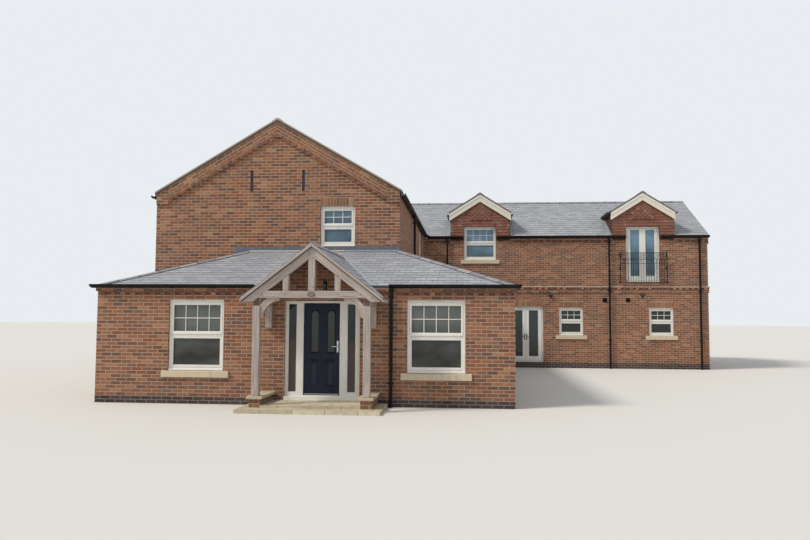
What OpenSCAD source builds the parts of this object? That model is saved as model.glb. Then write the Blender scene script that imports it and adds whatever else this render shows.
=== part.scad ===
// Detached brick house: a gabled main block, a side wing with two dormers,
// and a slated lean-to that wraps the front corner behind an oak porch.
// X runs right along the front walls, Y runs back into the plot, Z is up.
// The origin is the outer front left corner of the lean-to, at ground level.

/* [Walls and floors] */
// Thickness of every outer wall
wall_t = 300; // [200:10:400]
// Thickness of the upper floor
floor_t = 250; // [150:10:350]
// Top of the ground floor above the ground
ground_floor_z = 200; // [100:10:300]
// Top of the upper floor
upper_floor_z = 3080; // [2700:10:3400]
// Top of the blue brick plinth under the lean-to and main block
plinth_z = 150; // [75:5:225]
// Top of the blue brick plinth under the wing
wing_plinth_z = 200; // [75:5:225]

/* [Lean-to extension] */
// Width of the lean-to along its front
ext_w = 8780; // [7000:10:10000]
// Depth from the lean-to front to the main gable
ext_d = 2745; // [2000:5:3500]
// Height of the slates above the lean-to wall face
ext_eave_z = 2460; // [2300:10:2700]
// Height of the slates where they meet the main block
ext_head_z = 3405; // [3200:5:3700]
// Where the left hip meets the main gable
ext_hip_x = 2380; // [1800:10:2900]

/* [Main block] */
// Width of the main block and depth of the wing
span = 6170; // [5000:10:7500]
// Height of the slates above the main side walls
main_eave_z = 4940; // [4500:10:5400]
// Height of the main ridge
main_ridge_z = 6745; // [6200:10:7400]

/* [Wing] */
// Distance from the lean-to front to the wing front
wing_y = 11830; // [9000:10:13000]
// Right end of the wing
wing_end_x = 16330; // [14000:10:18000]
// Height of the slates above the wing walls
wing_eave_z = 4800; // [4400:10:5200]
// Height of the wing ridge
wing_ridge_z = 6490; // [6000:10:7000]
// Underside and top of the brick string course on the wing
string_z = [2720, 2945]; // [2000:5:3000]
// How far the string course stands proud
string_proud = 25; // [10:5:60]

/* [Roofs] */
// Upright thickness of the house roofs
roof_v = 150; // [100:10:220]
// Upright thickness of the lean-to roof
ext_roof_v = 120; // [80:10:180]
// Roof overhang past an eaves wall
eave_over = 30; // [10:5:80]
// Roof overhang past a gable, and its thinner edge there
verge_over = 60; // [20:5:120]
verge_v = 65; // [40:5:100]
// Half width of a ridge or hip tile, in plan
tile_half = 130; // [90:5:180]
// Thickness of a ridge or hip tile
tile_t = 28; // [15:1:40]

/* [Dormers] */
// Middle of each dormer, as a share of the wing's length beside the main block
dormer_share = [0.2037, 0.77805]; // [0.15:0.001:0.85]
// Half width of a dormer front
dormer_half = 1080; // [800:10:1300]
// Half width of a dormer roof
dormer_roof_half = 1130; // [850:10:1400]
// Ridge height of a dormer roof
dormer_ridge_z = 6370; // [6000:10:6500]
// Rise of a dormer roof for each unit run
dormer_rise = 0.625; // [0.5:0.005:0.8]
// Upright thickness of a dormer roof
dormer_roof_v = 115; // [80:5:180]
// How far a dormer roof stands in front of the wall
dormer_over = 120; // [60:5:200]

/* [Windows] */
// Width and height of a lean-to sash window
wide_window = [1190, 1480]; // [900:5:1600]
// Width and height of a small sash window
small_window = [860, 1000]; // [600:5:1200]
// Width and height of the sash window in the left dormer
dormer_window = [1165, 1230]; // [900:5:1400]
// Sill height of the lean-to windows, and the left edge of the left one
ext_sill_z = 690; // [500:5:900]
ext_window_left = 1573; // [400:1:2000]
// Middle of the right one, as a share of the wall right of the door screen
ext_window_share = 0.4959; // [0.45:0.0001:0.55]
// Sill height of the wing ground floor windows
wing_sill_z = 1180; // [900:5:1400]
// Left edge of each, as a share of the wall right of the French doors
wing_window_share = [0.0975, 0.6436]; // [0.05:0.0001:0.75]
// Sill height of the upper windows
upper_sill_z = 3545; // [3300:5:3800]
// Sill height of the window in the left dormer
dormer_sill_z = 3915; // [3800:5:4100]
// Left edge of the window in the main gable
gable_window_x = 4200; // [3400:5:5200]
// Distance of the window in the main side wall from the wing front
side_window_back = 2380; // [1500:10:4000]
// Width of a window's side frame, height of its head and foot, and of the middle rail
frame_side = 90; // [60:5:120]
frame_end = 115; // [80:5:140]
frame_rail = 150; // [100:5:180]
// Depth of a window or door frame, and its set back from the wall face
frame_d = 70; // [50:5:120]
frame_back = 55; // [20:5:120]
// Thickness of a glass pane
glass_t = 24; // [6:1:30]
// Height of a stone sill, its reach past the frame, and its projection
sill_h = 140; // [80:5:180]
sill_side = 125; // [60:5:180]
sill_out = 45; // [20:5:80]

/* [Front door] */
// Left edge, width and head height of the door screen
screen_x = 4060; // [3800:5:4400]
screen_w = 1570; // [1300:5:1900]
screen_z = 2145; // [2000:5:2300]
// Underside of the door screen
screen_foot_z = 120; // [60:5:200]
// Distance of the door leaf from the screen's left edge, and its width
leaf_in = 392; // [300:1:500]
leaf_w = 747; // [650:1:900]
// Height of the threshold frame under the leaf, and of the frame over it
leaf_foot = 96; // [80:1:120]
leaf_head = 48; // [40:1:80]
// Height of the threshold bar, and its reach in front of the wall
threshold = [65, 30]; // [20:1:80]
// Widths of frame left and right of each side light
side_light_frame = [64, 148, 159, 92]; // [50:1:180]
// Thickness of a door leaf
leaf_t = 50; // [40:1:60]
// Gap round a door leaf
leaf_gap = 6; // [4:1:10]

/* [Garden doors] */
// Distance of the ground floor French doors from the lean-to, width and head height
french_gap = 487; // [300:1:700]
french_w = 1250; // [1100:5:1500]
french_z = 2205; // [2050:5:2300]
// Width and height of the upper French doors, and their foot
juliet_w = 1180; // [1000:5:1400]
juliet_h = 2000; // [1850:5:2200]
juliet_z = 3105; // [3080:5:3200]
// Width and height of the iron balcony in front of them
balcony_w = 1644; // [1400:2:1900]
balcony_h = 1078; // [900:2:1200]
// How far the balcony bars stand off the wall
balcony_off = 100; // [60:5:160]

/* [Porch] */
// Distance of the middle of the porch from the screen's left edge
porch_in = 765; // [700:5:850]
// Front face of the oak truss, in front of the wall
porch_out = 970; // [700:10:1200]
// Size of an oak post
post = 140; // [100:5:180]
// Half distance between the middles of the posts
post_half = 1085; // [950:5:1250]
// Ridge height, half width and rise of the porch roof
porch_ridge_z = 3245; // [3000:5:3400]
porch_half = 1385; // [1200:5:1500]
porch_rise = 0.766; // [0.6:0.002:0.9]
// Upright thickness of the porch roof
porch_roof_v = 75; // [50:5:120]
// Undersides of the wall plate and of the tie beam
plate_z = 2030; // [1900:5:2100]
tie_z = 2182; // [2100:1:2250]
// Reach of a curved brace along the post and the tie beam, and its depth
brace_reach = 375; // [300:5:450]
brace_t = 125; // [80:5:150]
// How far the round of a brace would run past the post
brace_bite = 69; // [40:1:90]
// Height of the dwarf walls and of their copings
dwarf_z = 240; // [180:5:400]
coping_h = 50; // [30:5:80]
// Half width of a dwarf wall and of its coping
dwarf_half = 108; // [90:2:140]
coping_half = 150; // [110:5:180]
// Half width, height and reach in front of the posts of the flagstone base
flag_half = 1390; // [1250:10:1500]
flag_z = 70; // [50:5:110]
flag_out = 330; // [150:10:450]

/* [Rainwater goods] */
// Width, height and wall of a gutter
gutter = [105, 80, 6]; // [4:1:140]
// Diameter of a downpipe
pipe_d = 70; // [50:1:90]

/* [Hidden] */
$fn = 48;

rear_y = wing_y + span;
french_x = ext_w + french_gap;
leaf_x = screen_x + leaf_in;
leaf_z = [screen_foot_z + leaf_foot, screen_z - leaf_head];
porch_x = screen_x + porch_in;
dormer_x = [for (share = dormer_share) round(span + share * (wing_end_x - span))];
ext_window_x = [ext_window_left, round(screen_x + screen_w
    + ext_window_share * (ext_w - screen_x - screen_w) - wide_window[0] / 2)];
wing_window_x = [for (share = wing_window_share)
    round(french_x + french_w + share * (wing_end_x - french_x - french_w))];
ridge_x = span / 2;
ridge_y = wing_y + span / 2;
inner_x = span - wall_t;
main_slope = (main_ridge_z - main_eave_z) / ridge_x;
wing_slope = (wing_ridge_z - wing_eave_z) / (span / 2);
ext_rise = ext_head_z - ext_eave_z;
ext_run_right = ext_w - span;
upper_bottom_z = upper_floor_z - floor_t;
slit_from_ridge = [-675, 635];
slit_z = [4926, 5457];
slit_w = 75;
slit_depth = 110;
roof_reach = 2000;
sash_lap = 30;
sash_step = 15;
glass_in = 30;
door_glass_in = 20;
band_proud = 40;
eaves_course_h = 64;
lead_foot = 10;
lead_top = 140;
lead_t = 6;
lead_back = 350;
cheek_t = 100;
front_t = 150;
skirt = 100;
bargeboard = [30, 200];
baluster = 12;
baluster_count = 17;
balcony_post = 20;
dwarf_out = 15;
coping_out = 50;
wall_post_d = 100;
wall_post_z = 1590;
tie_h = 138;
tie_over = 170;
rafter_v = 178;
rafter_in = 20;
rafter_foot = 74;
plate_in = 40;
king_half = 66;
strut_x = 510;
strut_half = 58;
peg_x = [510, 965];
peg_d = 22;
peg_depth = 26;
brace_w = 70;
porch_verge = 30;
hinge_r = 9;
hinge_pin_r = 5;
hinge_run = 0.06;
hinge_h = 100;
hinge_in = 180;
hinge_plate = 20;
knuckle_h = 30;
leaf_y = frame_back + frame_d - leaf_t;
door_hinge_y = frame_back + frame_d + hinge_r + 1;
far = 40000;
small = 1;

brick = "#9a5f45";
slate = "#85878c";
stone = "#cfc3a6";
paint = "#ece8dc";
cream = "#e9dfc4";
oak = "#a3907a";
iron = "#1c1c1e";
pane = "#5f7683";
navy = "#1d2436";
tile_red = "#7c4034";
lead = "#8d9299";
blue_brick = "#4a4c57";
chrome = "#c9ccd0";

// Windows of the ground floor: wall, left edge, sill height and size
function ground_windows() = [
    for (x = ext_window_x) ["ext_front", x, ext_sill_z, wide_window],
    for (x = wing_window_x) ["wing_front", x, wing_sill_z, small_window],
    for (y = row(0, wing_y, wide_window)) ["ext_right", y, ext_sill_z, wide_window],
    for (y = row(ext_d, rear_y, small_window)) ["main_left", y, wing_sill_z, small_window],
    ["main_rear", ridge_x - wide_window[0] / 2, ext_sill_z, wide_window],
    for (x = row(span, wing_end_x, wide_window)) ["wing_rear", x, ext_sill_z, wide_window],
    ["wing_end", ridge_y - small_window[0] / 2, wing_sill_z, small_window]];

// Windows of the upper floor: wall, left edge, sill height and size
function upper_windows() = [
    ["main_front", gable_window_x, upper_sill_z, small_window],
    ["main_right", wing_y - side_window_back, upper_sill_z, dormer_window],
    ["wing_front", dormer_x[0] - dormer_window[0] / 2, dormer_sill_z, dormer_window],
    for (y = row(ext_d, rear_y, small_window)) ["main_left", y, upper_sill_z, small_window],
    ["main_rear", ridge_x - small_window[0] / 2, upper_sill_z, small_window],
    for (x = row(span, wing_end_x, small_window)) ["wing_rear", x, upper_sill_z, small_window],
    ["wing_end", ridge_y - small_window[0] / 2, upper_sill_z, small_window]];

// Left edges of three like windows, evenly spaced along a wall
function row(from, to, size) =
    [for (i = [0 : 2]) round(from + (to - from) * (2 * i + 1) / 6 - size[0] / 2)];

// A box between two limits on each axis
module block(x, y, z) {
    translate([x[0], y[0], z[0]])
        cube([x[1] - x[0], y[1] - y[0], z[1] - z[0]]);
}

// A profile in Y and Z, drawn out along X
module along_x(points, x) {
    translate([x[0], 0, 0])
        rotate([90, 0, 90])
            linear_extrude(x[1] - x[0])
                polygon(points);
}

// A profile in X and Z, drawn out along Y
module along_y(points, y) {
    translate([0, y[1], 0])
        rotate([90, 0, 0])
            linear_extrude(y[1] - y[0])
                polygon(points);
}

// Local axes of a wall: X along the wall, Y inwards from its outer face
module on_wall(wall) {
    if (wall == "ext_front") children();
    if (wall == "main_front") translate([0, ext_d, 0]) children();
    if (wall == "wing_front") translate([0, wing_y, 0]) children();
    if (wall == "main_left") mirror([1, -1, 0]) children();
    if (wall == "ext_right") translate([ext_w, 0, 0]) rotate([0, 0, 90]) children();
    if (wall == "main_right") translate([span, 0, 0]) rotate([0, 0, 90]) children();
    if (wall == "wing_end") translate([wing_end_x, 0, 0]) rotate([0, 0, 90]) children();
    if (wall == "main_rear" || wall == "wing_rear")
        translate([0, rear_y, 0]) mirror([0, 1, 0]) children();
}

// Everything below a pitched roof whose ridge runs along Y, lowered by drop
module under_main(drop) {
    foot_z = main_eave_z - drop - main_slope * roof_reach;
    along_y([[-roof_reach, -100], [span + roof_reach, -100], [span + roof_reach, foot_z],
        [ridge_x, main_ridge_z - drop], [-roof_reach, foot_z]],
        [-far, far]);
}

// Everything below the wing roof, lowered by drop
module under_wing(drop) {
    foot_z = wing_eave_z - drop - wing_slope * roof_reach;
    along_x([[wing_y - roof_reach, -100], [rear_y + roof_reach, -100],
        [rear_y + roof_reach, foot_z], [ridge_y, wing_ridge_z - drop],
        [wing_y - roof_reach, foot_z]],
        [-far, far]);
}

// Everything below the lean-to roof, lowered by drop: a front and two side slopes
module under_extension(drop) {
    z = ext_eave_z - drop;
    front = ext_rise / ext_d;
    left = ext_rise / ext_hip_x;
    right = ext_rise / ext_run_right;
    peak_x = ext_w * right / (left + right);
    intersection() {
        along_x([[-1000, -100], [wing_y + 2000, -100],
            [wing_y + 2000, z + front * (wing_y + 2000)], [-1000, z - front * 1000]],
            [-1000, ext_w + 1000]);
        along_y([[-1000, -100], [ext_w + 1000, -100], [ext_w + 1000, z - right * 1000],
            [peak_x, z + left * peak_x], [-1000, z - left * 1000]],
            [-1000, wing_y + 2000]);
    }
}

// Everything below the dormer roof at x, lowered by drop
module under_dormer(x, drop) {
    z = dormer_ridge_z - drop;
    foot_z = z - dormer_rise * roof_reach;
    along_y([[x - roof_reach, 0], [x + roof_reach, 0], [x + roof_reach, foot_z],
        [x, z], [x - roof_reach, foot_z]],
        [wing_y - 1000, ridge_y]);
}

// Everything below the porch roof, lowered by drop
module under_porch(drop) {
    z = porch_ridge_z - drop;
    foot_z = z - porch_rise * roof_reach;
    along_y([[porch_x - roof_reach, 0], [porch_x + roof_reach, 0],
        [porch_x + roof_reach, foot_z], [porch_x, z], [porch_x - roof_reach, foot_z]],
        [-porch_out - 200, ext_d + 1]);
}

// The stretch of a dormer or of the porch within half of its middle line
module within(middle, half, y)
    intersection() {
        children();
        block([middle - half, middle + half], y, [0, far]);
    }

// The upper windows that meet the lead flashing have no sill
function has_sill(w) = w[0] != "main_front" && w[0] != "main_right";

// The hole for a window and its sill, in wall axes
module window_hole(w) {
    at = w[1];
    z = w[2];
    size = w[3];
    block([at, at + size[0]], [-small, wall_t + small], [z, z + size[1]]);
    if (has_sill(w))
        block([at - sill_side, at + size[0] + sill_side],
            [-small, frame_back + frame_d], [z - sill_h, z + small / 10]);
}

// All window holes of one wall
module window_holes(wall) {
    for (w = concat(ground_windows(), upper_windows()))
        if (w[0] == wall)
            on_wall(wall) window_hole(w);
}

// A sash window: a box frame round an upper and a lower light
module sash_frame(at, z, size)
    difference() {
        block([at, at + size[0]], [frame_back, frame_back + frame_d], [z, z + size[1]]);
        for (low = light_feet(z, size))
            block([at + frame_side, at + size[0] - frame_side],
                [0, wall_t], [low, low + light_h(size)]);
        block([at + frame_side - sash_lap, at + size[0] - frame_side + sash_lap],
            [frame_back - small, frame_back + sash_step],
            [z + frame_end - 2 * sash_lap, light_feet(z, size)[1] - frame_rail / 2]);
    }

// Height of each light of a sash window, and the foot of the lower and upper one
function light_h(size) = (size[1] - 2 * frame_end - frame_rail) / 2;
function light_feet(z, size) =
    [z + frame_end, z + frame_end + light_h(size) + frame_rail];

// The panes of a sash window
module sash_glass(at, z, size)
    for (low = light_feet(z, size))
        block([at + frame_side, at + size[0] - frame_side],
            [frame_back + glass_in, frame_back + glass_in + glass_t],
            [low, low + light_h(size)]);

// A stone sill under a window
module sill(at, z, size) {
    block([at - sill_side, at + size[0] + sill_side],
        [-sill_out, frame_back + frame_d], [z - sill_h, z]);
}

// Walls round the lean-to and the main block between two heights, open at the wing
module ring_walls(z) {
    difference() {
        block([0, ext_w], [0, wing_y], z);
        block([wall_t, ext_w - wall_t], [wall_t, ext_d], z + [-small, small]);
        block([span, ext_w - wall_t], [wall_t, wing_y + small], z + [-small, small]);
        block([wall_t, inner_x], [ext_d + wall_t, wing_y + small], z + [-small, small]);
    }
}

// Blue brick plinth under every outer wall, lowered under the front door
module blue_plinth() color(blue_brick) {
    difference() {
        ring_walls([0, plinth_z]);
        block([screen_x, screen_x + screen_w], [-small, wall_t + small],
            [screen_foot_z, plinth_z + small]);
    }
    difference() {
        block([0, wing_end_x], [wing_y, rear_y], [0, plinth_z]);
        block([wall_t, inner_x], [wing_y - small, rear_y - wall_t], [-small, plinth_z + small]);
        block([inner_x - small, wing_end_x - wall_t], [wing_y + wall_t, rear_y - wall_t],
            [-small, plinth_z + small]);
    }
    block([ext_w, wing_end_x], [wing_y, wing_y + wall_t], [0, wing_plinth_z]);
    block([wing_end_x - wall_t, wing_end_x], [wing_y, rear_y], [0, wing_plinth_z]);
    block([span, wing_end_x], [rear_y - wall_t, rear_y], [0, wing_plinth_z]);
}

// Solid ground floors inside the walls, and the upper floor of the house
module floors() color("#b7ab97") {
    low = [0, ground_floor_z];
    high = [upper_bottom_z, upper_floor_z];
    block([wall_t, ext_w - wall_t], [wall_t, ext_d], low);
    block([screen_x, screen_x + screen_w], [frame_back + frame_d, wall_t + small],
        [screen_foot_z, ground_floor_z]);
    block([span, ext_w - wall_t], [ext_d - small, wing_y], low);
    for (z = [low, high]) {
        block([wall_t, inner_x], [ext_d + wall_t, rear_y - wall_t], z);
        block([inner_x - small, wing_end_x - wall_t], [wing_y + wall_t, rear_y - wall_t], z);
    }
}

// Masonry of the lean-to between limits, under its roof and clear of its windows
module extension_masonry(x, y) {
    color(brick)
        difference() {
            intersection() {
                block(x, y, [plinth_z, far]);
                under_extension(ext_roof_v);
            }
            window_holes("ext_front");
            window_holes("ext_right");
        }
}

module extension_wall_left() extension_masonry([0, screen_x], [0, wall_t]);

module extension_wall_right() extension_masonry([screen_x + screen_w, ext_w], [0, wall_t]);

// Lintel wall over the door, and the brick gable that closes the porch roof
module extension_wall_over_door() color(brick) {
    intersection() {
        block([screen_x, screen_x + screen_w], [0, wall_t], [screen_z, far]);
        under_extension(ext_roof_v);
    }
    difference() {
        intersection() {
            block([0, ext_w], [0, wall_t / 2], [screen_z, far]);
            under_porch(porch_roof_v);
        }
        under_extension(ext_roof_v);
    }
}

// Half width of the brick gable where the porch roof meets the top of the wall
function porch_gable_half() =
    (porch_ridge_z - porch_roof_v - ext_eave_z + ext_roof_v) / porch_rise;

module extension_left_side_wall() extension_masonry([0, wall_t], [wall_t, ext_d]);

module extension_right_side_wall()
    extension_masonry([ext_w - wall_t, ext_w], [wall_t, wing_y]);

// The front gable, with two blind slit vents high up
module main_front_gable() color(brick)
    difference() {
        intersection() {
            block([0, span], [ext_d, ext_d + wall_t], [plinth_z, main_ridge_z]);
            under_main(roof_v);
        }
        window_holes("main_front");
        for (side = slit_from_ridge)
            block([ridge_x + side, ridge_x + side + slit_w],
                [ext_d - small, ext_d + slit_depth], slit_z);
    }

module main_rear_gable() color(brick)
    difference() {
        intersection() {
            block([0, span], [rear_y - wall_t, rear_y], [plinth_z, main_ridge_z]);
            under_main(roof_v);
        }
        window_holes("main_rear");
    }

module main_left_wall() color(brick)
    difference() {
        intersection() {
            block([0, wall_t], [ext_d + wall_t, rear_y - wall_t], [plinth_z, main_ridge_z]);
            under_main(roof_v);
        }
        window_holes("main_left");
    }

module main_right_wall() color(brick)
    difference() {
        intersection() {
            block([inner_x, span], [ext_d + wall_t, wing_y + wall_t], [plinth_z, main_ridge_z]);
            under_main(roof_v);
        }
        window_holes("main_right");
    }

// The wing front between limits, under the roof and clear of its openings
module wing_front(x, z) {
    color(brick)
        difference() {
            intersection() {
                block(x, [wing_y, wing_y + wall_t], [z, main_ridge_z]);
                under_wing(roof_v);
            }
            window_holes("wing_front");
            block([dormer_x[1] - juliet_w / 2, dormer_x[1] + juliet_w / 2],
                [wing_y - small, wing_y + wall_t + small], [juliet_z, main_ridge_z]);
            main_slopes();
        }
}

module wing_front_wall_left() {
    wing_front([ext_w, french_x], wing_plinth_z);
    wing_front([span, ext_w], plinth_z);
}

module wing_front_wall_right() wing_front([french_x + french_w, wing_end_x], wing_plinth_z);

module wing_wall_over_french_doors() wing_front([french_x, french_x + french_w], french_z);

module wing_rear_wall() color(brick)
    difference() {
        intersection() {
            block([span, wing_end_x - wall_t], [rear_y - wall_t, rear_y],
                [wing_plinth_z, main_ridge_z]);
            under_wing(roof_v);
        }
        window_holes("wing_rear");
        main_slopes();
    }

module wing_end_gable() color(brick)
    difference() {
        intersection() {
            block([wing_end_x - wall_t, wing_end_x], [wing_y + wall_t, rear_y],
                [wing_plinth_z, main_ridge_z]);
            under_wing(roof_v);
        }
        window_holes("wing_end");
    }

// Corbelled bands that rake up the gables, and the string course of the wing
module brick_bands() color(brick) {
    band = 300;
    kneeler = 310;
    kneeler_drop = 320;
    for (y = [[ext_d - band_proud, ext_d], [rear_y, rear_y + band_proud]])
        difference() {
            intersection() {
                block([0, span], y, [main_eave_z - kneeler_drop, main_ridge_z]);
                under_main(verge_v);
            }
            intersection() {
                under_main(roof_v + band);
                block([kneeler, span - kneeler], [-far, far], [0, far]);
            }
        }
    difference() {
        intersection() {
            block([wing_end_x, wing_end_x + band_proud], [wing_y, rear_y],
                [wing_eave_z - kneeler_drop, main_ridge_z]);
            under_wing(verge_v);
        }
        intersection() {
            under_wing(roof_v + band);
            block([0, far], [wing_y + kneeler, rear_y - kneeler], [0, far]);
        }
    }
    block([ext_w, wing_end_x + string_proud], [wing_y - string_proud, wing_y], string_z);
    block([wing_end_x, wing_end_x + string_proud], [wing_y - small, rear_y], string_z);
    eaves_courses();
}

// A course of bricks stands out under the eaves of the lean-to and of the wing
module eaves_courses() {
    ext_z = [ext_gutter_z - eaves_course_h, ext_gutter_z];
    difference() {
        block([-eave_over, ext_w + eave_over], [-eave_over, wing_y], ext_z);
        block([0, ext_w], [0, far], [0, far]);
        block([-far, span], [ext_d, far], [0, far]);
        under_porch(0);
    }
    difference() {
        block([span, wing_end_x], [wing_y - eave_over, rear_y + eave_over],
            [wing_gutter_z - eaves_course_h, wing_gutter_z]);
        block([-far, far], [wing_y, rear_y], [0, far]);
        for (x = dormer_x) block([x - dormer_half, x + dormer_half], [0, wing_y], [0, far]);
    }
}

// Main roof: two slopes from a ridge that runs back from the front gable
module main_roof() color(slate) main_slopes();

module main_slopes()
    difference() {
        intersection() {
            under_main(0);
            block([-eave_over, span + eave_over],
                [ext_d - verge_over, rear_y + verge_over], [ext_head_z, far]);
        }
        under_main(roof_v);
        difference() {
            under_main(verge_v);
            block([-far, far], [ext_d, rear_y], [-far, far]);
        }
    }

// Wing roof, cut to the main slope at the valleys and opened for the dormers
module wing_roof() color(slate)
    difference() {
        intersection() {
            under_wing(0);
            block([ridge_x, wing_end_x + verge_over],
                [wing_y - eave_over, rear_y + eave_over], [ext_head_z, far]);
        }
        under_wing(roof_v);
        difference() {
            under_wing(verge_v);
            block([-far, wing_end_x], [-far, far], [-far, far]);
        }
        difference() {
            block([-far, wing_end_x], [-far, far], [0, wing_gutter_z]);
            block([-far, far], [wing_y, rear_y], [0, far]);
        }
        under_main(0);
        for (x = dormer_x)
            within(x, dormer_half, [0, far]) under_dormer(x, dormer_roof_v);
    }

// Lean-to roof: hipped at both corners, and opened behind the porch gable
module extension_roof() color(slate)
    difference() {
        extension_slopes();
        within(porch_x, porch_gable_half(), [-far, far]) under_porch(porch_roof_v);
    }

module extension_slopes()
    difference() {
        intersection() {
            under_extension(0);
            block([-eave_over, ext_w + eave_over], [-eave_over, wing_y], [plinth_z, far]);
        }
        under_extension(ext_roof_v);
        block([-far, span], [ext_d, far], [0, far]);
        difference() {
            block([-far, far], [-far, far], [0, ext_gutter_z]);
            block([0, ext_w], [0, far], [0, far]);
        }
    }

// A saddle of ridge tile over a pitched prism, made by raising the roof surface
module ridge_and_hip_tiles() color(slate) {
    difference() {
        intersection() {
            under_main(-tile_t);
            block([ridge_x - tile_half, ridge_x + tile_half],
                [ext_d - verge_over, rear_y + verge_over], [ext_head_z, far]);
        }
        under_main(0);
    }
    difference() {
        intersection() {
            under_wing(-tile_t);
            block([ridge_x, wing_end_x + verge_over],
                [ridge_y - tile_half, ridge_y + tile_half], [ext_head_z, far]);
        }
        under_wing(0);
        under_main(0);
    }
    for (x = dormer_x)
        difference() {
            within(x, tile_half, [wing_y - dormer_over, ridge_y]) under_dormer(x, -tile_t);
            under_dormer(x, 0);
            under_wing(0);
        }
    difference() {
        within(porch_x, tile_half, [-porch_out - porch_verge, ext_d]) under_porch(-tile_t);
        under_porch(0);
        under_extension(0);
    }
    difference() {
        hip_tile_zone();
        under_extension(0);
    }
}

// Everything below the tops of the two hip tiles of the lean-to
module hip_tile_zone()
    intersection() {
        under_extension(-tile_t);
        block([-eave_over, ext_w + eave_over], [-eave_over, ext_d], [plinth_z, far]);
        union() {
            hip_strip([0, 0], [ext_hip_x, ext_d]);
            hip_strip([ext_w, 0], [span, ext_d]);
        }
    }

// A strip in plan along a hip, from its foot to its head
module hip_strip(foot, head) {
    run = norm(head - foot);
    turn = atan2(head[1] - foot[1], head[0] - foot[0]);
    translate([foot[0], foot[1], 0])
        rotate([0, 0, turn])
            block([-200, run + 200], [-tile_half, tile_half], [plinth_z, far]);
}

// Lead where the lean-to roof meets the main block and the wing
module lead_flashings() color(lead)
    difference() {
        union() {
            z = [ext_eave_z, ext_head_z + lead_top];
            block([ext_hip_x - lead_back, span + lead_t], [ext_d - lead_t, ext_d], z);
            block([span, span + lead_t], [ext_d - lead_t, wing_y], z);
        }
        under_extension(-lead_foot);
        hip_tile_zone();
    }

// Tile hung fronts and cheeks of the two dormers
module dormer_walls() color(tile_red)
    for (i = [0, 1])
        difference() {
            within(dormer_x[i], dormer_half, [wing_y - eave_over, ridge_y])
                difference() {
                    under_dormer(dormer_x[i], dormer_roof_v);
                    block([dormer_x[i] - dormer_half + cheek_t, dormer_x[i] + dormer_half - cheek_t],
                        [wing_y + front_t, far], [0, far]);
                }
            difference() {
                under_wing(roof_v);
                block([0, far], [wing_y - eave_over - small, wing_y], [wing_eave_z - skirt, far]);
            }
            window_holes("wing_front");
            block([dormer_x[0] - dormer_window[0] / 2, dormer_x[0] + dormer_window[0] / 2],
                [wing_y - eave_over - small, wing_y + small],
                [dormer_sill_z, dormer_sill_z + dormer_window[1]]);
            block([dormer_x[1] - juliet_w / 2, dormer_x[1] + juliet_w / 2],
                [wing_y - eave_over - small, wing_y + wall_t], [juliet_z, juliet_z + juliet_h]);
        }

// Slated roofs of the dormers, back to the wing roof
module dormer_roofs() color(slate)
    for (x = dormer_x)
        difference() {
            within(x, dormer_roof_half, [wing_y - dormer_over, ridge_y]) under_dormer(x, 0);
            under_dormer(x, dormer_roof_v);
            under_wing(0);
        }

// Cream boards along the front edge of each dormer roof
module dormer_bargeboards() color(cream)
    for (x = dormer_x)
        difference() {
            within(x, dormer_roof_half,
                [wing_y - dormer_over, wing_y - dormer_over + bargeboard[0]])
                under_dormer(x, dormer_roof_v);
            under_dormer(x, dormer_roof_v + bargeboard[1]);
        }

module ground_window_frames() color(paint)
    for (w = ground_windows())
        on_wall(w[0]) sash_frame(w[1], w[2], w[3]);

module upper_window_frames() color(paint)
    for (w = upper_windows())
        on_wall(w[0]) sash_frame(w[1], w[2], w[3]);

// Panes of the ground floor, with the two side lights of the front door
module ground_window_glass() color(pane) {
    for (w = ground_windows())
        on_wall(w[0]) sash_glass(w[1], w[2], w[3]);
    for (light = side_lights())
        block(light, [frame_back + door_glass_in, frame_back + door_glass_in + glass_t],
            side_light_z());
}

// Left and right edge of each side light, and their height
function side_lights() = [
    [screen_x + side_light_frame[0], leaf_x - side_light_frame[1]],
    [leaf_x + leaf_w + side_light_frame[2], screen_x + screen_w - side_light_frame[3]]];
function side_light_z() = [screen_foot_z + 150, screen_z - 55];

// Panes of the upper floor, with those of the upper French doors
module upper_window_glass() color(pane) {
    for (w = upper_windows())
        on_wall(w[0]) sash_glass(w[1], w[2], w[3]);
    for (x = juliet_lights())
        block([x, x + juliet_light_w()],
            [wing_y + frame_back + door_glass_in, wing_y + frame_back + door_glass_in + glass_t],
            juliet_light_z());
}

function juliet_light_w() = 325;
function juliet_light_z() = [juliet_z + 215, juliet_z + juliet_h - 100];
function juliet_lights() = [dormer_x[1] - 105 - juliet_light_w(), dormer_x[1] + 105];

module stone_sills() color(stone)
    for (w = concat(ground_windows(), upper_windows()))
        if (has_sill(w))
            on_wall(w[0]) sill(w[1], w[2], w[3]);

// The upper French doors, fixed shut behind their balcony
module juliet_doors() color(paint)
    difference() {
        block([dormer_x[1] - juliet_w / 2, dormer_x[1] + juliet_w / 2],
            [wing_y + frame_back, wing_y + frame_back + frame_d],
            [juliet_z, juliet_z + juliet_h]);
        for (x = juliet_lights())
            block([x, x + juliet_light_w()], [wing_y, wing_y + wall_t], juliet_light_z());
    }

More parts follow.
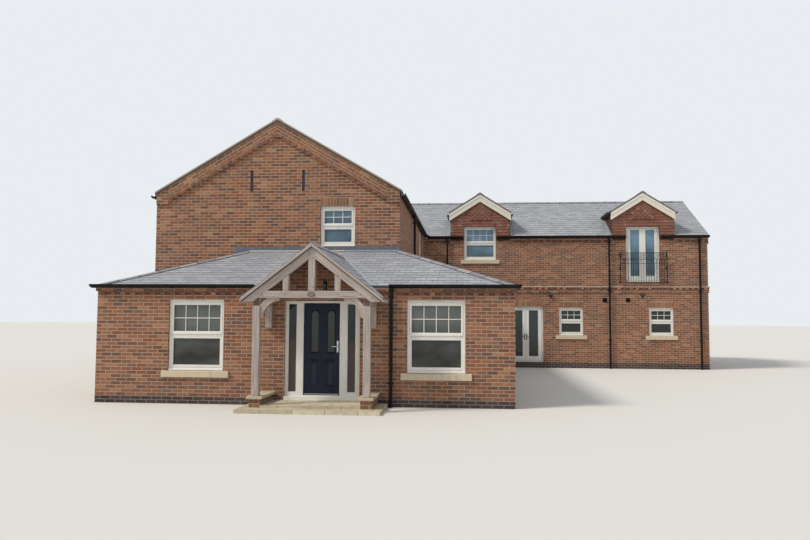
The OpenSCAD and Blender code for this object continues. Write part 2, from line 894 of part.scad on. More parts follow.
// Iron balcony: end posts, three rails, balusters and wall fixings
module juliet_balcony() color(iron) {
    left = dormer_x[1] - balcony_w / 2;
    low = juliet_z - 24;
    top = low + balcony_h;
    y = [wing_y - balcony_off - baluster, wing_y - balcony_off];
    rail_z = [low, top - 400, top - 250, top - baluster];
    fixing_z = [low + 20, low + balcony_h / 2 - 20, top - 90];
    for (x = [left, left + balcony_w - balcony_post])
        block([x, x + balcony_post], [y[0] - 4, y[1] + 4], [low - 10, top]);
    for (z = rail_z)
        block([left, left + balcony_w], y, [z, z + baluster]);
    for (i = [1 : baluster_count]) {
        x = left + (balcony_post - baluster) / 2
            + i * (balcony_w - balcony_post) / (baluster_count + 1);
        block([x, x + baluster], y, [low, rail_z[2] + baluster]);
    }
    for (x = [left, left + balcony_w - balcony_post])
        for (z = fixing_z)
            block([x, x + balcony_post], [y[1], wing_y], [z, z + balcony_post]);
}

// Dwarf brick walls that carry the porch posts
module porch_dwarf_walls() color(brick)
    for (s = [-1, 1])
        translate([porch_x + s * post_half, 0, 0])
            block([-dwarf_half, dwarf_half], [-porch_out - dwarf_out, 0], [flag_z, dwarf_z]);

// Flagstone step in two levels, and the copings of the dwarf walls
module porch_stonework() color(stone) {
    block([porch_x - flag_half, porch_x + flag_half], [-porch_out - flag_out, 0], [0, flag_z]);
    block([porch_x - post_half + dwarf_half, porch_x + post_half - dwarf_half],
        [-porch_out - dwarf_out, 0], [flag_z - small, screen_foot_z]);
    for (s = [-1, 1])
        translate([porch_x + s * post_half, 0, 0])
            block([-coping_half, coping_half], [-porch_out - coping_out, 0],
                [dwarf_z, dwarf_z + coping_h]);
}

// Oak posts, the wall plates over them and the short posts on the wall
module porch_frame() color(oak)
    for (s = [-1, 1])
        translate([porch_x + s * post_half, 0, 0]) {
            block([-post / 2, post / 2], [-porch_out, -porch_out + post],
                [dwarf_z + coping_h, plate_z]);
            block([-post / 2, post / 2], [plate_in - porch_out, 0], [plate_z - small, tie_z]);
            block([-post / 2 + 5, post / 2 - 5], [-wall_post_d, 0], [wall_post_z, plate_z]);
        }

// The oak truss: tie beam, two rafters, king post and two struts, pegged
module porch_truss() color(oak)
    difference() {
        truss_timbers();
        for (s = [-1, 1]) {
            translate([porch_x + s * post_half - post / 2, 0, 0])
                block([0, post], [plate_in - porch_out, 0], [plate_z - small, tie_z]);
            for (x = peg_x)
                translate([porch_x + s * x, -porch_out - small, tie_z + tie_h / 2])
                    rotate([-90, 0, 0])
                        cylinder(d = peg_d, h = peg_depth, $fn = 24);
        }
    }

// Tie beam, rafters, king post and struts in one plane
module truss_timbers() {
    y = [-porch_out, -porch_out + post];
    within(porch_x, porch_half - rafter_in, y)
        difference() {
            under_porch(porch_roof_v);
            under_porch(porch_roof_v + rafter_v);
            block([-far, far], [-far, far], [0, tie_z - rafter_foot]);
        }
    within(porch_x, post_half + tie_over, y)
        intersection() {
            block([0, far], y, [tie_z, tie_z + tie_h]);
            under_porch(porch_roof_v);
        }
    for (post_at = [[-strut_x, strut_half], [0, king_half], [strut_x, strut_half]])
        within(porch_x + post_at[0], post_at[1], y)
            intersection() {
                block([0, far], y, [tie_z + tie_h - small, far]);
                under_porch(porch_roof_v + rafter_v / 2);
            }
}

// Curved braces: part of a ring, cut square by each post and the tie beam
module porch_braces() color(oak)
    for (s = [0, 1])
        translate([porch_x, 0, 0])
            mirror([s, 0, 0])
                translate([post_half - post / 2 - brace_reach,
                    -porch_out + (post - brace_w) / 2, tie_z - brace_reach])
                    brace_ring();

module brace_ring()
    rotate([-90, 0, 0])
        mirror([0, 1, 0])
            intersection() {
                difference() {
                    cylinder(r = brace_reach + brace_bite, h = brace_w, $fn = 96);
                    translate([0, 0, -small])
                        cylinder(r = brace_reach + brace_bite - brace_t,
                            h = brace_w + 2 * small, $fn = 96);
                }
                cube([brace_reach, brace_reach, brace_w]);
            }

// Slated porch roof, back to the lean-to slope
module porch_roof() color(slate)
    difference() {
        within(porch_x, porch_half, [-porch_out - porch_verge, ext_d]) under_porch(0);
        under_porch(porch_roof_v);
        difference() {
            under_extension(0);
            block([-far, far], [-far, 0], [-far, far]);
        }
        extension_slopes();
    }

// Heights of the hinges of a door leaf
function hinge_heights(z) = [z[0] + hinge_in, (z[0] + z[1] - hinge_h) / 2,
    z[1] - hinge_in - hinge_h];

// Fixed half of a hinge: two knuckles, each on a plate to the left, and the pin
module hinge_fixed() {
    for (z = [0, hinge_h - knuckle_h]) {
        translate([0, 0, z]) cylinder(r = hinge_r, h = knuckle_h);
        block([-hinge_r - hinge_plate, 0], [hinge_r - 3, hinge_r + small], [z, z + knuckle_h]);
    }
    cylinder(r = hinge_pin_r, h = hinge_h);
}

// Moving half of a hinge: one knuckle that runs on the pin, with its plate on the right
module hinge_moving() {
    z = [knuckle_h + 0.5, hinge_h - knuckle_h - 0.5];
    difference() {
        union() {
            translate([0, 0, z[0]]) cylinder(r = hinge_r, h = z[1] - z[0]);
            block([0, hinge_r + hinge_plate], [hinge_r - 3, hinge_r + small], z);
        }
        translate([0, 0, knuckle_h]) cylinder(r = hinge_pin_r + hinge_run, h = hinge_h);
    }
}

// Off-white screen that holds the door between two side lights
module front_door_screen() color(paint) {
    y = [frame_back, frame_back + frame_d];
    difference() {
        block([screen_x, screen_x + screen_w], y, [screen_foot_z + threshold[0], screen_z]);
        block([leaf_x - leaf_gap, leaf_x + leaf_w + leaf_gap], [0, wall_t],
            [leaf_z[0] - leaf_gap, leaf_z[1] + leaf_gap]);
        for (light = side_lights())
            block(light, [0, wall_t], side_light_z());
    }
    for (z = hinge_heights(leaf_z))
        translate([leaf_x - leaf_gap / 2, door_hinge_y, z])
            mirror([0, 1, 0]) hinge_fixed();
    block([screen_x, screen_x + screen_w], [-threshold[1], frame_back + frame_d],
        [screen_foot_z, screen_foot_z + threshold[0] + small]);
}

// Left edge, width, foot and spring of each arched light of the door
door_light = [150, 156, 872, 1650];
door_light_step = 340;

// Foot and head of the two lower panels of the door, their groove, and its depth
door_panel = [165, 857];
door_groove = [16, 5];

// The groove round one lower panel, cut into both faces of the leaf
module panel_groove() {
    x = [door_light[0] - 41, door_light[0] + door_light[1] + 25];
    for (y = [[-small, door_groove[1]], [leaf_t - door_groove[1], leaf_t + small]])
        difference() {
            block(x, y, door_panel);
            block(x + door_groove[0] * [1, -1], y + [-small, small],
                door_panel + door_groove[0] * [1, -1]);
        }
}

// One arched light of the front door, in leaf axes
module arched_light(y, h) {
    translate([door_light[0] + door_light[1] / 2, y, 0]) {
        translate([-door_light[1] / 2, 0, door_light[2]])
            cube([door_light[1], h, door_light[3] - door_light[2]]);
        translate([0, h, door_light[3]])
            rotate([90, 0, 0])
                cylinder(d = door_light[1], h = h, $fn = 48);
    }
}

module front_door() color(navy) {
    translate([leaf_x, leaf_y, leaf_z[0]])
        difference() {
            cube([leaf_w, leaf_t, leaf_z[1] - leaf_z[0]]);
            for (i = [0, 1])
                translate([i * door_light_step, 0, 0]) {
                    arched_light(-small, leaf_t + 2 * small);
                    panel_groove();
                }
        }
    for (z = hinge_heights(leaf_z))
        translate([leaf_x - leaf_gap / 2, door_hinge_y, z])
            mirror([0, 1, 0]) hinge_moving();
}

module front_door_glass() color(pane)
    translate([leaf_x, leaf_y, leaf_z[0]])
        for (i = [0, 1])
            translate([i * door_light_step, 0, 0])
                arched_light((leaf_t - glass_t) / 2, glass_t);

// Lever handle and plate on both faces of the front door
handle_z = 994;
module front_door_handle() color(chrome)
    translate([leaf_x + leaf_w - 40, leaf_y, leaf_z[0] + handle_z])
        for (side = [-1, 1])
            translate([0, side < 0 ? 0 : leaf_t, 0])
                mirror([0, side < 0 ? 0 : 1, 0]) {
                    block([-18, 18], [-8, 0], [-120, 120]);
                    translate([0, 0, 10])
                        rotate([90, 0, 0])
                            cylinder(d = 18, h = 42);
                    block([-110, 9], [-46, -34], [1, 19]);
                }

french_y = wing_y + frame_back;
french_hinge_y = french_y - hinge_r - 1;
french_side = 62;
french_leaf_w = (french_w - 2 * french_side - 3 * leaf_gap) / 2;
french_leaf_z = [wing_plinth_z + 56, french_z - 56];

module french_door_frame() color(paint) {
    difference() {
        block([french_x, french_x + french_w], [french_y, french_y + frame_d],
            [wing_plinth_z, french_z]);
        block([french_x + french_side, french_x + french_w - french_side],
            [french_y - small, french_y + frame_d + small],
            [french_leaf_z[0] - leaf_gap, french_leaf_z[1] + leaf_gap]);
    }
    for (i = [0, 1])
        on_french_hinges(i) hinge_fixed();
}

// Places of the hinges of one French leaf, with the leaf on the right of each
module on_french_hinges(i)
    for (z = hinge_heights(french_leaf_z))
        translate([french_leaf_x[i] + (i == 0 ? -leaf_gap / 2 : french_leaf_w + leaf_gap / 2),
            french_hinge_y, z])
            mirror([i, 0, 0])
                children();

// Left edge of each French leaf
french_leaf_x = [french_x + french_side + leaf_gap,
    french_x + french_side + 2 * leaf_gap + french_leaf_w];

// Glazed opening of a French leaf
module french_light(i, y) {
    side = 105;
    block([french_leaf_x[i] + side, french_leaf_x[i] + french_leaf_w - side], y,
        [french_leaf_z[0] + 150, french_leaf_z[1] - 70]);
}

module french_leaf(i) {
    color(paint)
        difference() {
            block([french_leaf_x[i], french_leaf_x[i] + french_leaf_w],
                [french_y, french_y + leaf_t], french_leaf_z);
            french_light(i, [french_y - small, french_y + leaf_t + small]);
        }
    color(paint) on_french_hinges(i) hinge_moving();
}

module french_leaf_left() french_leaf(0);

module french_leaf_right() french_leaf(1);

french_glass_y = [french_y + (leaf_t - glass_t) / 2, french_y + (leaf_t + glass_t) / 2];

module french_glass_left() color(pane) french_light(0, french_glass_y);

module french_glass_right() color(pane) french_light(1, french_glass_y);

// Section of a gutter with a flat back at zero and a rounded front at -width
function gutter_section(at, z) = concat(
    [[at, z + gutter[1]], [at, z]],
    [for (a = [90 : 15 : 180]) gutter_point(at, z, a, 0)],
    [for (a = [180 : -15 : 90]) gutter_point(at, z, a, gutter[2])],
    [[at - gutter[2], z + gutter[2]], [at - gutter[2], z + gutter[1]]]);
function gutter_point(at, z, a, inset) = [at - gutter[0] / 2 + (gutter[0] / 2 - inset) * cos(a),
    z + gutter[1] - (gutter[1] - inset) * sin(a)];

// A gutter section turned to face right
function gutter_section_back(at, z) =
    [for (p = gutter_section(0, z)) [at - p[0], p[1]]];

ext_gutter_z = ext_eave_z - 55;
wing_gutter_z = wing_eave_z - 105;
porch_gutter_gap = 20;
main_gutter_z = main_eave_z - 175;

module gutters() color(iron) {
    gap = juliet_w / 2 + 10;
    corner_y = -eave_over - gutter[0] + small;
    intersection() {
        mitre_zone();
        for (x = [[-eave_over - gutter[0], porch_x - porch_half - porch_gutter_gap],
                [porch_x + porch_half + porch_gutter_gap, ext_w + eave_over + gutter[0]]])
            along_x(gutter_section(-eave_over, ext_gutter_z), x);
    }
    difference() {
        union() {
            along_y(gutter_section_back(ext_w + eave_over, ext_gutter_z), [corner_y, wing_y]);
            along_y(gutter_section(-eave_over, ext_gutter_z), [corner_y, ext_d]);
        }
        mitre_zone();
    }
    along_x(gutter_section(wing_y - eave_over, wing_gutter_z),
        [span + eave_over + gutter[0] + 5, dormer_x[0] - gap]);
    along_x(gutter_section(wing_y - eave_over, wing_gutter_z),
        [dormer_x[0] + gap, dormer_x[1] - gap]);
    along_x(gutter_section(wing_y - eave_over, wing_gutter_z),
        [dormer_x[1] + gap, wing_end_x + verge_over]);
    along_x(gutter_section_back(rear_y + eave_over, wing_gutter_z),
        [span + eave_over + gutter[0] + 5, wing_end_x + verge_over]);
    along_y(gutter_section(-eave_over, main_gutter_z),
        [ext_d - verge_over, rear_y + verge_over]);
    along_y(gutter_section_back(span + eave_over, main_gutter_z),
        [ext_d - verge_over, wing_y - eave_over - gutter[0] - 5]);
    for (x = dormer_x)
        for (s = [-1, 1])
            dormer_gutter(x, s);
}

// The plan in front of the lean-to, cut at 45 degrees from its two front corners
module mitre_zone()
    linear_extrude(far)
        polygon([[-ext_d, -ext_d], [ext_w + ext_d, -ext_d], [ext_w, 0], [0, 0]]);

// A gutter along one eaves of a dormer, back to the wing slope
module dormer_gutter(x, s) {
    z = dormer_ridge_z - dormer_roof_v - dormer_rise * dormer_roof_half + 20;
    back = wing_y + (z - wing_eave_z) / wing_slope - 10;
    difference() {
        translate([x, 0, 0])
            mirror([s < 0 ? 0 : 1, 0, 0])
                along_y(gutter_section(-dormer_roof_half, z), [wing_y - dormer_over, back]);
        under_wing(0);
    }
}

// A downpipe between two heights
module pipe(x, y, z) {
    translate([x, y, z[0]])
        cylinder(d = pipe_d, h = z[1] - z[0]);
}

module downpipes() color(iron) {
    off = eave_over + gutter[0] / 2;
    left_x = span + 876;
    middle_x = dormer_x[1] - dormer_half - 115;
    end_x = wing_end_x - 290;
    side_pipe_back = 3655;
    left_foot_z = ext_eave_z + (ext_w - left_x + pipe_d) * ext_rise / ext_run_right;
    pipe(porch_x + porch_half + 72, -off, [0, ext_gutter_z]);
    pipe(left_x, wing_y - off, [left_foot_z, wing_gutter_z]);
    for (x = [middle_x, end_x]) pipe(x, wing_y - off, [0, wing_gutter_z]);
    for (x = [span + 430, end_x]) pipe(x, rear_y + off, [0, wing_gutter_z]);
    for (y = [ext_d + 400, rear_y - 400]) pipe(-off, y, [0, main_gutter_z]);
    pipe(span + off, ext_d + side_pipe_back, [ext_head_z, main_gutter_z]);
}

// Square lamps under the string course of the wing, and a lantern over the front door
module wall_lights() color(iron) {
    lamp = [180, 85, 145];
    lamp_drop = 185;
    lantern = [80, 110, 220];
    for (x = [french_x + french_w + 268, wing_window_x[1] - 215])
        block([x - lamp[0] / 2, x + lamp[0] / 2],
            [wing_y - lamp[1], wing_y],
            [string_z[0] - lamp_drop, string_z[0] - lamp_drop + lamp[2]]);
    lantern_x = porch_x + 37;
    block([lantern_x, lantern_x + lantern[0]], [-lantern[1], 0],
        [screen_z + 195, screen_z + 195 + lantern[2]]);
}

blue_plinth();
floors();
extension_wall_left();
extension_wall_right();
extension_wall_over_door();
extension_left_side_wall();
extension_right_side_wall();
main_front_gable();
main_rear_gable();
main_left_wall();
main_right_wall();
wing_front_wall_left();
wing_front_wall_right();
wing_wall_over_french_doors();
wing_rear_wall();
wing_end_gable();
brick_bands();
main_roof();
wing_roof();
extension_roof();
ridge_and_hip_tiles();
lead_flashings();
dormer_walls();
dormer_roofs();
dormer_bargeboards();
ground_window_frames();
ground_window_glass();
upper_window_frames();
upper_window_glass();
stone_sills();
juliet_doors();
juliet_balcony();
porch_dwarf_walls();
porch_stonework();
porch_frame();
porch_truss();
porch_braces();
porch_roof();
front_door_screen();
front_door();
front_door_glass();
front_door_handle();
french_door_frame();
french_leaf_left();
french_leaf_right();
french_glass_left();
french_glass_right();
gutters();
downpipes();
wall_lights();
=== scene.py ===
import bpy
import bmesh
import math
import random
from mathutils import Matrix, Vector


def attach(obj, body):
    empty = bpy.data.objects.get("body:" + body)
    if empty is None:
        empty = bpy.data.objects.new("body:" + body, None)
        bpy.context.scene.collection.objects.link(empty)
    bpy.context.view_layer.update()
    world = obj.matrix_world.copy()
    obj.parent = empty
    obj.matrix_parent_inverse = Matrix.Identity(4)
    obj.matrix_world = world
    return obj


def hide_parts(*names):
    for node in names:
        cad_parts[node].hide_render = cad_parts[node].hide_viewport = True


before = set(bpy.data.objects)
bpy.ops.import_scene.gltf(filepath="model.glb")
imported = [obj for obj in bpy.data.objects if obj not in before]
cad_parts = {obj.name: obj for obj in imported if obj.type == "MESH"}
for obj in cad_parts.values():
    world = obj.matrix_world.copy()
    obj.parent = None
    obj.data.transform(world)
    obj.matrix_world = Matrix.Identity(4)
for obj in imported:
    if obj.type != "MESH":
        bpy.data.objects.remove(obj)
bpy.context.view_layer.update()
print("frame loaded", len(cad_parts), "nodes")


class Sizes(dict):
    # the sizes of one piece, read as in house.span
    __getattr__ = dict.__getitem__


# sizes of the house that the pieces are laid on, in metres, as in the frame
house = Sizes(span=6.17, wingY=11.83, rearY=18.0, extW=8.78, extD=2.745, mainEave=4.94,
              mainRidge=6.745, wingEnd=16.33, wingEave=4.80, wingRidge=6.49, extEave=2.46,
              extHead=3.405, hipX=2.38, porchX=4.825, porchRidge=3.245, porchRise=0.766,
              porchHalf=1.385, dormers=(8.24, 14.075), dormerRidge=6.37, dormerRise=0.625,
              dormerHalf=1.08, dormerRoofHalf=1.13, eave=0.03, gable=0.06)
h = house
ridgeX = h.span / 2
ridgeY = h.wingY + h.span / 2
mainSlope = (h.mainRidge - h.mainEave) / ridgeX
wingSlope = (h.wingRidge - h.wingEave) / ridgeX
extRise = h.extHead - h.extEave
frontRise, leftRise, rightRise = (extRise / run for run in (h.extD, h.hipX, h.extW - h.span))
dormerFront = h.wingY - 0.12
rng = random.Random(41)

# camera, from the straight edges of the walls and roofs
view = Sizes(at=(7.880, -14.581, 1.849), yaw=-0.0909, pitch=0.0638, roll=0.0052, lens=31.86)
camera = bpy.data.objects.new("camera", bpy.data.cameras.new("camera"))
bpy.context.scene.collection.objects.link(camera)
bpy.context.scene.camera = camera
camera.data.lens = view.lens
camera.data.sensor_width = 36
ahead = Vector((math.sin(view.yaw) * math.cos(view.pitch),
                math.cos(view.yaw) * math.cos(view.pitch), math.sin(view.pitch)))
right = Vector((math.cos(view.yaw), -math.sin(view.yaw), 0))
upward = right.cross(ahead)
turnedRight = math.cos(view.roll) * right + math.sin(view.roll) * upward
turnedUp = -math.sin(view.roll) * right + math.cos(view.roll) * upward
camera.matrix_world = Matrix.Translation(view.at) @ Matrix(
    (turnedRight, turnedUp, -ahead)).transposed().to_4x4()

# the materials, by name
finish = {}


def tint(code):
    # a web colour as linear red, green, blue, alpha
    parts = [int(code[i:i + 2], 16) / 255 for i in (1, 3, 5)]
    return tuple(c / 12.92 if c < 0.04045 else ((c + 0.055) / 1.055) ** 2.4
                 for c in parts) + (1.0,)


def operator(operation, swapped=False):
    # a Math node between a wire and what stands on its other side
    def apply(self, other):
        values = (other, self) if swapped else (self, other)
        return self.nodes.maths(operation, *values)
    return apply


class Wire:
    # a node's output that can stand in a sum
    def __init__(self, nodes, socket):
        self.nodes = nodes
        self.socket = socket

    __add__ = __radd__ = operator("ADD")
    __sub__ = operator("SUBTRACT")
    __rsub__ = operator("SUBTRACT", swapped=True)
    __mul__ = __rmul__ = operator("MULTIPLY")
    __truediv__ = operator("DIVIDE")
    __mod__ = operator("FLOORED_MODULO")
    __gt__ = operator("GREATER_THAN")
    __lt__ = operator("LESS_THAN")


class Nodes:
    # a node tree, filled node by node; colours are web colours
    def __init__(self, tree):
        self.tree = tree

    def fill(self, item, sockets):
        for key, value in sockets.items():
            if isinstance(value, Wire):
                self.tree.links.new(value.socket, item.inputs[key])
            else:
                item.inputs[key].default_value = tint(value) if isinstance(value, str) else value

    def node(self, kind, settings=None, sockets=None, out=0):
        item = self.tree.nodes.new("ShaderNode" + kind)
        for key, value in (settings or {}).items():
            setattr(item, key, value)
        self.fill(item, sockets or {})
        return Wire(self, item.outputs[out])

    def maths(self, operation, *values):
        return self.node("Math", {"operation": operation}, dict(enumerate(values)))

    def place(self, kind="Object"):
        return self.node("TexCoord", out=kind)

    def axes(self, vector):
        item = self.node("SeparateXYZ", sockets={0: vector}).socket.node
        return [Wire(self, item.outputs[i]) for i in range(3)]

    def vector(self, x, y, z):
        return self.node("CombineXYZ", sockets={0: x, 1: y, 2: z})

    def scaled(self, vector, size):
        return self.node("VectorMath", {"operation": "MULTIPLY"}, {0: vector, 1: size})

    def noise(self, vector, scale, detail=3.0, roughness=0.55):
        return self.node("TexNoise", sockets={"Vector": vector, "Scale": scale,
                                              "Detail": detail, "Roughness": roughness})

    def dice(self, x, y, z):
        return self.node("TexWhiteNoise", {"noise_dimensions": "3D"},
                         {"Vector": self.vector(x, y, z)})

    def ramp(self, value, stops, steps="LINEAR"):
        wire = self.node("ValToRGB", sockets={0: value})
        band = wire.socket.node.color_ramp
        band.interpolation = steps
        for extra in stops[2:]:
            band.elements.new(0.5)
        for stop, (place, colour) in zip(band.elements, stops):
            stop.position = place
            stop.color = tint(colour)
        return wire

    def spread(self, value, low, high, to=(0.0, 1.0)):
        return self.node("MapRange", {"interpolation_type": "SMOOTHSTEP"},
                         {0: value, 1: low, 2: high, 3: to[0], 4: to[1]})

    def patches(self, scale, low, high, detail=3.0):
        # soft blotches, from 0 to 1
        return self.spread(self.noise(self.place(), scale, detail), low, high)

    def mix(self, factor, first, second, blend="MIX"):
        return self.node("Mix", {"data_type": "RGBA", "blend_type": blend},
                         {0: factor, 6: first, 7: second}, out=2)

    def cells(self, along, up, length, course, shift):
        # row and column of each unit laid in bond, and how far a point is from its edges
        rows = up / course
        row = self.maths("FLOOR", rows)
        places = along / length + (row % 2.0) * shift
        column = self.maths("FLOOR", places)
        low, left = rows - row, places - column
        return row, column, self.maths("MINIMUM", self.maths("MINIMUM", low, 1 - low) * course,
                                       self.maths("MINIMUM", left, 1 - left) * length)


class Finish(Nodes):
    # one material
    def __init__(self, name, colour="#808080", roughness=0.6, metallic=0.0, specular=0.5):
        material = bpy.data.materials.new(name)
        material.use_nodes = True
        super().__init__(material.node_tree)
        self.shader = self.tree.nodes["Principled BSDF"]
        self.shade({"Base Color": colour, "Roughness": roughness, "Metallic": metallic,
                    "Specular IOR Level": specular})
        finish[name] = material

    def shade(self, sockets):
        self.fill(self.shader, sockets)

    def bump(self, height, strength=0.5, distance=0.01):
        self.shade({"Normal": self.node("Bump", sockets={
            "Height": height, "Strength": strength, "Distance": distance})})


# stock bricks: course and length with their joints, the joint, and the colours
bricks = Sizes(course=0.075, length=0.225, joint=0.0115, edge=0.003,
               red=[(0.0, "#8b604b"), (0.14, "#a16c50"), (0.28, "#925f47"), (0.42, "#ab7a5b"),
                    (0.54, "#7a584b"), (0.66, "#a57152"), (0.76, "#8c6957"), (0.86, "#6d554c"),
                    (0.94, "#b68969")],
               blue=[(0.0, "#2e3038"), (0.3, "#3a3b45"), (0.55, "#272932"), (0.8, "#43414a")])
# plastered rooms: low and high X, low and high Y, and the slopes of the lean-to over the first
rooms = Sizes(boxes=((0.13, 8.65, 0.13, 11.96), (0.13, 6.04, 2.88, 17.87),
                     (6.0, 16.2, 11.96, 17.87)),
              plate=2.36, front=0.344, left=0.397, right=0.362, top=3.178)


def indoors(f, x, y, z):
    # 1 behind the window frames, where the walls are plastered
    leanTo, main, wing = [(x > x0) * (x < x1) * (y > y0) * (y < y1)
                          for x0, x1, y0, y1 in rooms.boxes]
    low = z - rooms.plate
    underRoof = (low < y * rooms.front) * (low < x * rooms.left) \
        * (low < rooms.top - x * rooms.right)
    return f.maths("MINIMUM", leanTo * underRoof + main + wing, 1.0)


def brickFinish(name, stops, joint, grime=0.3):
    # stretcher bond outside
    f = Finish(name, roughness=0.9, specular=0.25)
    x, y, z = f.axes(f.place())
    nx, ny, nz = f.axes(f.node("NewGeometry", out="Normal"))
    # along the wall, whichever way the wall faces
    along = x + (y - x) * (f.maths("ABSOLUTE", nx) > f.maths("ABSOLUTE", ny))
    row, column, edge = f.cells(along, z, bricks.length, bricks.course, 0.5)
    wobble = f.noise(f.place(), 60.0, 2.0) * 0.004 - 0.002
    face = f.spread(edge + wobble, (bricks.joint - bricks.edge) / 2,
                    (bricks.joint + bricks.edge) / 2)
    second = f.dice(row, column, 7.0)
    colour = f.ramp(f.dice(column, row, 0.0), stops, "CONSTANT")
    colour = f.mix(f.patches(38.0, 0.35, 0.75, 4.0) * 0.5, colour, "#6f4a3e")
    colour = f.mix(second * 0.35, colour, "#c09070", "SOFT_LIGHT")
    # darker drag marks along each face
    drag = f.noise(f.vector(along * 8.0, z * 62.0, second * 9.0), 1.0)
    colour = f.mix(f.spread(drag, 0.48, 0.72) * 0.42, colour, "#5d463c")
    colour = f.mix(f.patches(0.55, 0.3, 0.7) * 0.16, colour, "#7d6f66")
    grain = f.noise(f.place(), 210.0)
    mixed = f.mix(face, f.mix(grain * 0.6, joint, "#8c7a63"), colour)
    dirt = f.spread(z, 0.1, 0.75, (grime, 0.0)) * f.patches(2.3, 0.3, 0.8)
    mixed = f.mix(dirt, mixed, "#6a5a4b")
    plaster = indoors(f, x, y, z)
    f.shade({"Base Color": f.mix(plaster, mixed, "#d9d3c6")})
    height = face * 0.8 + grain * 0.12 + f.noise(f.place(), 45.0, 2.0) * 0.15
    f.bump(height * (1 - plaster), 0.6, 0.006)


def toneFinish(name, stops, grainScale, second, roughness=0.7, streak=(1.0, 1.0, 1.0), bump=0.3):
    # units that carry their own tone, such as slates, tiles and single bricks
    f = Finish(name, roughness=roughness, specular=0.3)
    colour = f.ramp(f.node("Attribute", {"attribute_name": "tone"}, out="Fac"), stops)
    grain = f.noise(f.scaled(f.place(), streak), grainScale, 4.0)
    colour = f.mix(f.spread(grain, 0.35, 0.8) * 0.45, colour, second)
    colour = f.mix(f.patches(1.3, 0.35, 0.7, 4.0) * 0.22, colour, second)
    f.shade({"Base Color": colour,
             "Roughness": f.spread(grain, 0.2, 0.8, (roughness - 0.12, roughness + 0.1))})
    f.bump(grain, bump, 0.004)


def plainFinish(name, colour, second, scale=14.0, roughness=0.5, metallic=0.0, specular=0.5,
                amount=0.5, bump=0.1, dirt=None):
    f = Finish(name, roughness=roughness, metallic=metallic, specular=specular)
    grain = f.noise(f.place(), scale, 4.0)
    mixed = f.mix(f.spread(grain, 0.35, 0.75) * amount, colour, second)
    if dirt:
        # grime in upright runs
        x, y, z = f.axes(f.place())
        runs = f.noise(f.vector(x * 9.0, y * 9.0, z * 0.8), 1.6, 4.0)
        mixed = f.mix(f.spread(runs, 0.5, 0.8) * dirt[0], mixed, dirt[1])
    f.shade({"Base Color": mixed, "Roughness": f.spread(
        grain, 0.2, 0.8, (max(0.05, roughness - 0.08), roughness + 0.08))})
    f.bump(f.noise(f.place(), scale * 9.0), bump, 0.002)


def oakFinish(name):
    # weathered oak: the grain follows the UV map, which runs along each timber
    f = Finish(name, roughness=0.8, specular=0.25)
    x, y, z = f.axes(f.place("UV"))
    fine = f.noise(f.vector(x * 1.6, y * 46.0, z), 1.0, 5.0, 0.65)
    broad = f.noise(f.vector(x * 0.7, y * 9.0, z), 1.0)
    checks = f.spread(f.noise(f.vector(x * 0.9, y * 26.0, z), 1.3, 2.0), 0.66, 0.72)
    colour = f.ramp(fine, [(0.25, "#7f7268"), (0.45, "#ab9d94"), (0.6, "#c5b8b0"),
                           (0.8, "#d8cdc6")])
    colour = f.mix(f.spread(broad, 0.35, 0.75) * 0.45, colour, "#94837a")
    f.shade({"Base Color": f.mix(checks * 0.6, colour, "#4d4238")})
    f.bump(fine * 0.6 - checks, 0.5, 0.006)


def flagFinish(name):
    # riven sandstone flags with sandy joints
    f = Finish(name, roughness=0.85, specular=0.25)
    x, y, z = f.axes(f.place())
    row, column, edge = f.cells(x + 2.0, y + 4.0, 0.62, 0.46, 0.42)
    face = f.spread(edge, 0.003, 0.009)
    colour = f.ramp(f.dice(column, row, 3.0), [(0.0, "#d2c3a4"), (0.5, "#c0b398"),
                                               (1.0, "#ded2b8")])
    colour = f.mix(f.patches(7.0, 0.35, 0.75, 5.0) * 0.5, colour, "#9d927c")
    f.shade({"Base Color": f.mix(face, "#8b7f69", colour)})
    f.bump(face * 0.5 + f.noise(f.place(), 16.0, 4.0) * 0.6, 0.5, 0.008)


# low and high X of the porch's side lights, how far back they stand, and the wing's front
sideLights = Sizes(low=4.0, high=5.7, back=0.2, wing=11.7)


def glassFinish(name, dark, light, foot, head, porch=None):
    # panes in shade, with a painted reflection: darker low down and lighter towards the head,
    # with a soft change of tone between panes; the side lights of the porch carry a painted
    # reflection of its floor below and of the dark sky side above
    f = Finish(name, roughness=0.05, specular=0.35)
    x, y, z = f.axes(f.place())
    haze = f.noise(f.vector(x * 0.9, y * 0.9, z * 1.6), 1.4, 2.0)
    # painted reflection: the panes grow lighter towards the head
    mixed = f.mix(f.spread(z, foot, head) * 0.6 + f.spread(haze, 0.3, 0.7) * 0.4, dark, light)
    if porch:
        below, above, wing = porch
        # painted reflection of the porch floor below and of the dark sky side above, on the side
        # lights
        bands = f.mix(f.spread(z + haze * 0.3, 1.36, 1.56), below, above)
        inPorch = (x > sideLights.low) * (x < sideLights.high) * (y < sideLights.back)
        mixed = f.mix(inPorch, mixed, bands)
        mixed = f.mix((y > sideLights.wing) * 0.9, mixed, wing)
    f.shade({"Base Color": mixed, "Coat Weight": 0.2, "Coat Roughness": 0.02})


def boardFinish(name, colour, second, gap):
    # planks that run across the house
    f = Finish(name, roughness=0.55, specular=0.3)
    x, y, z = f.axes(f.place())
    plank = f.maths("FLOOR", y / gap)
    grain = f.noise(f.vector(x * 1.4, y * 30.0, z * 30.0), 1.0, 4.0)
    mixed = f.mix(f.dice(plank, 1.0, 2.0) * 0.5 + grain * 0.5, colour, second)
    f.shade({"Base Color": f.mix(f.spread(y / gap - plank, 0.0, 0.03), "#3a2c20", mixed)})
    f.bump(grain, 0.15, 0.002)


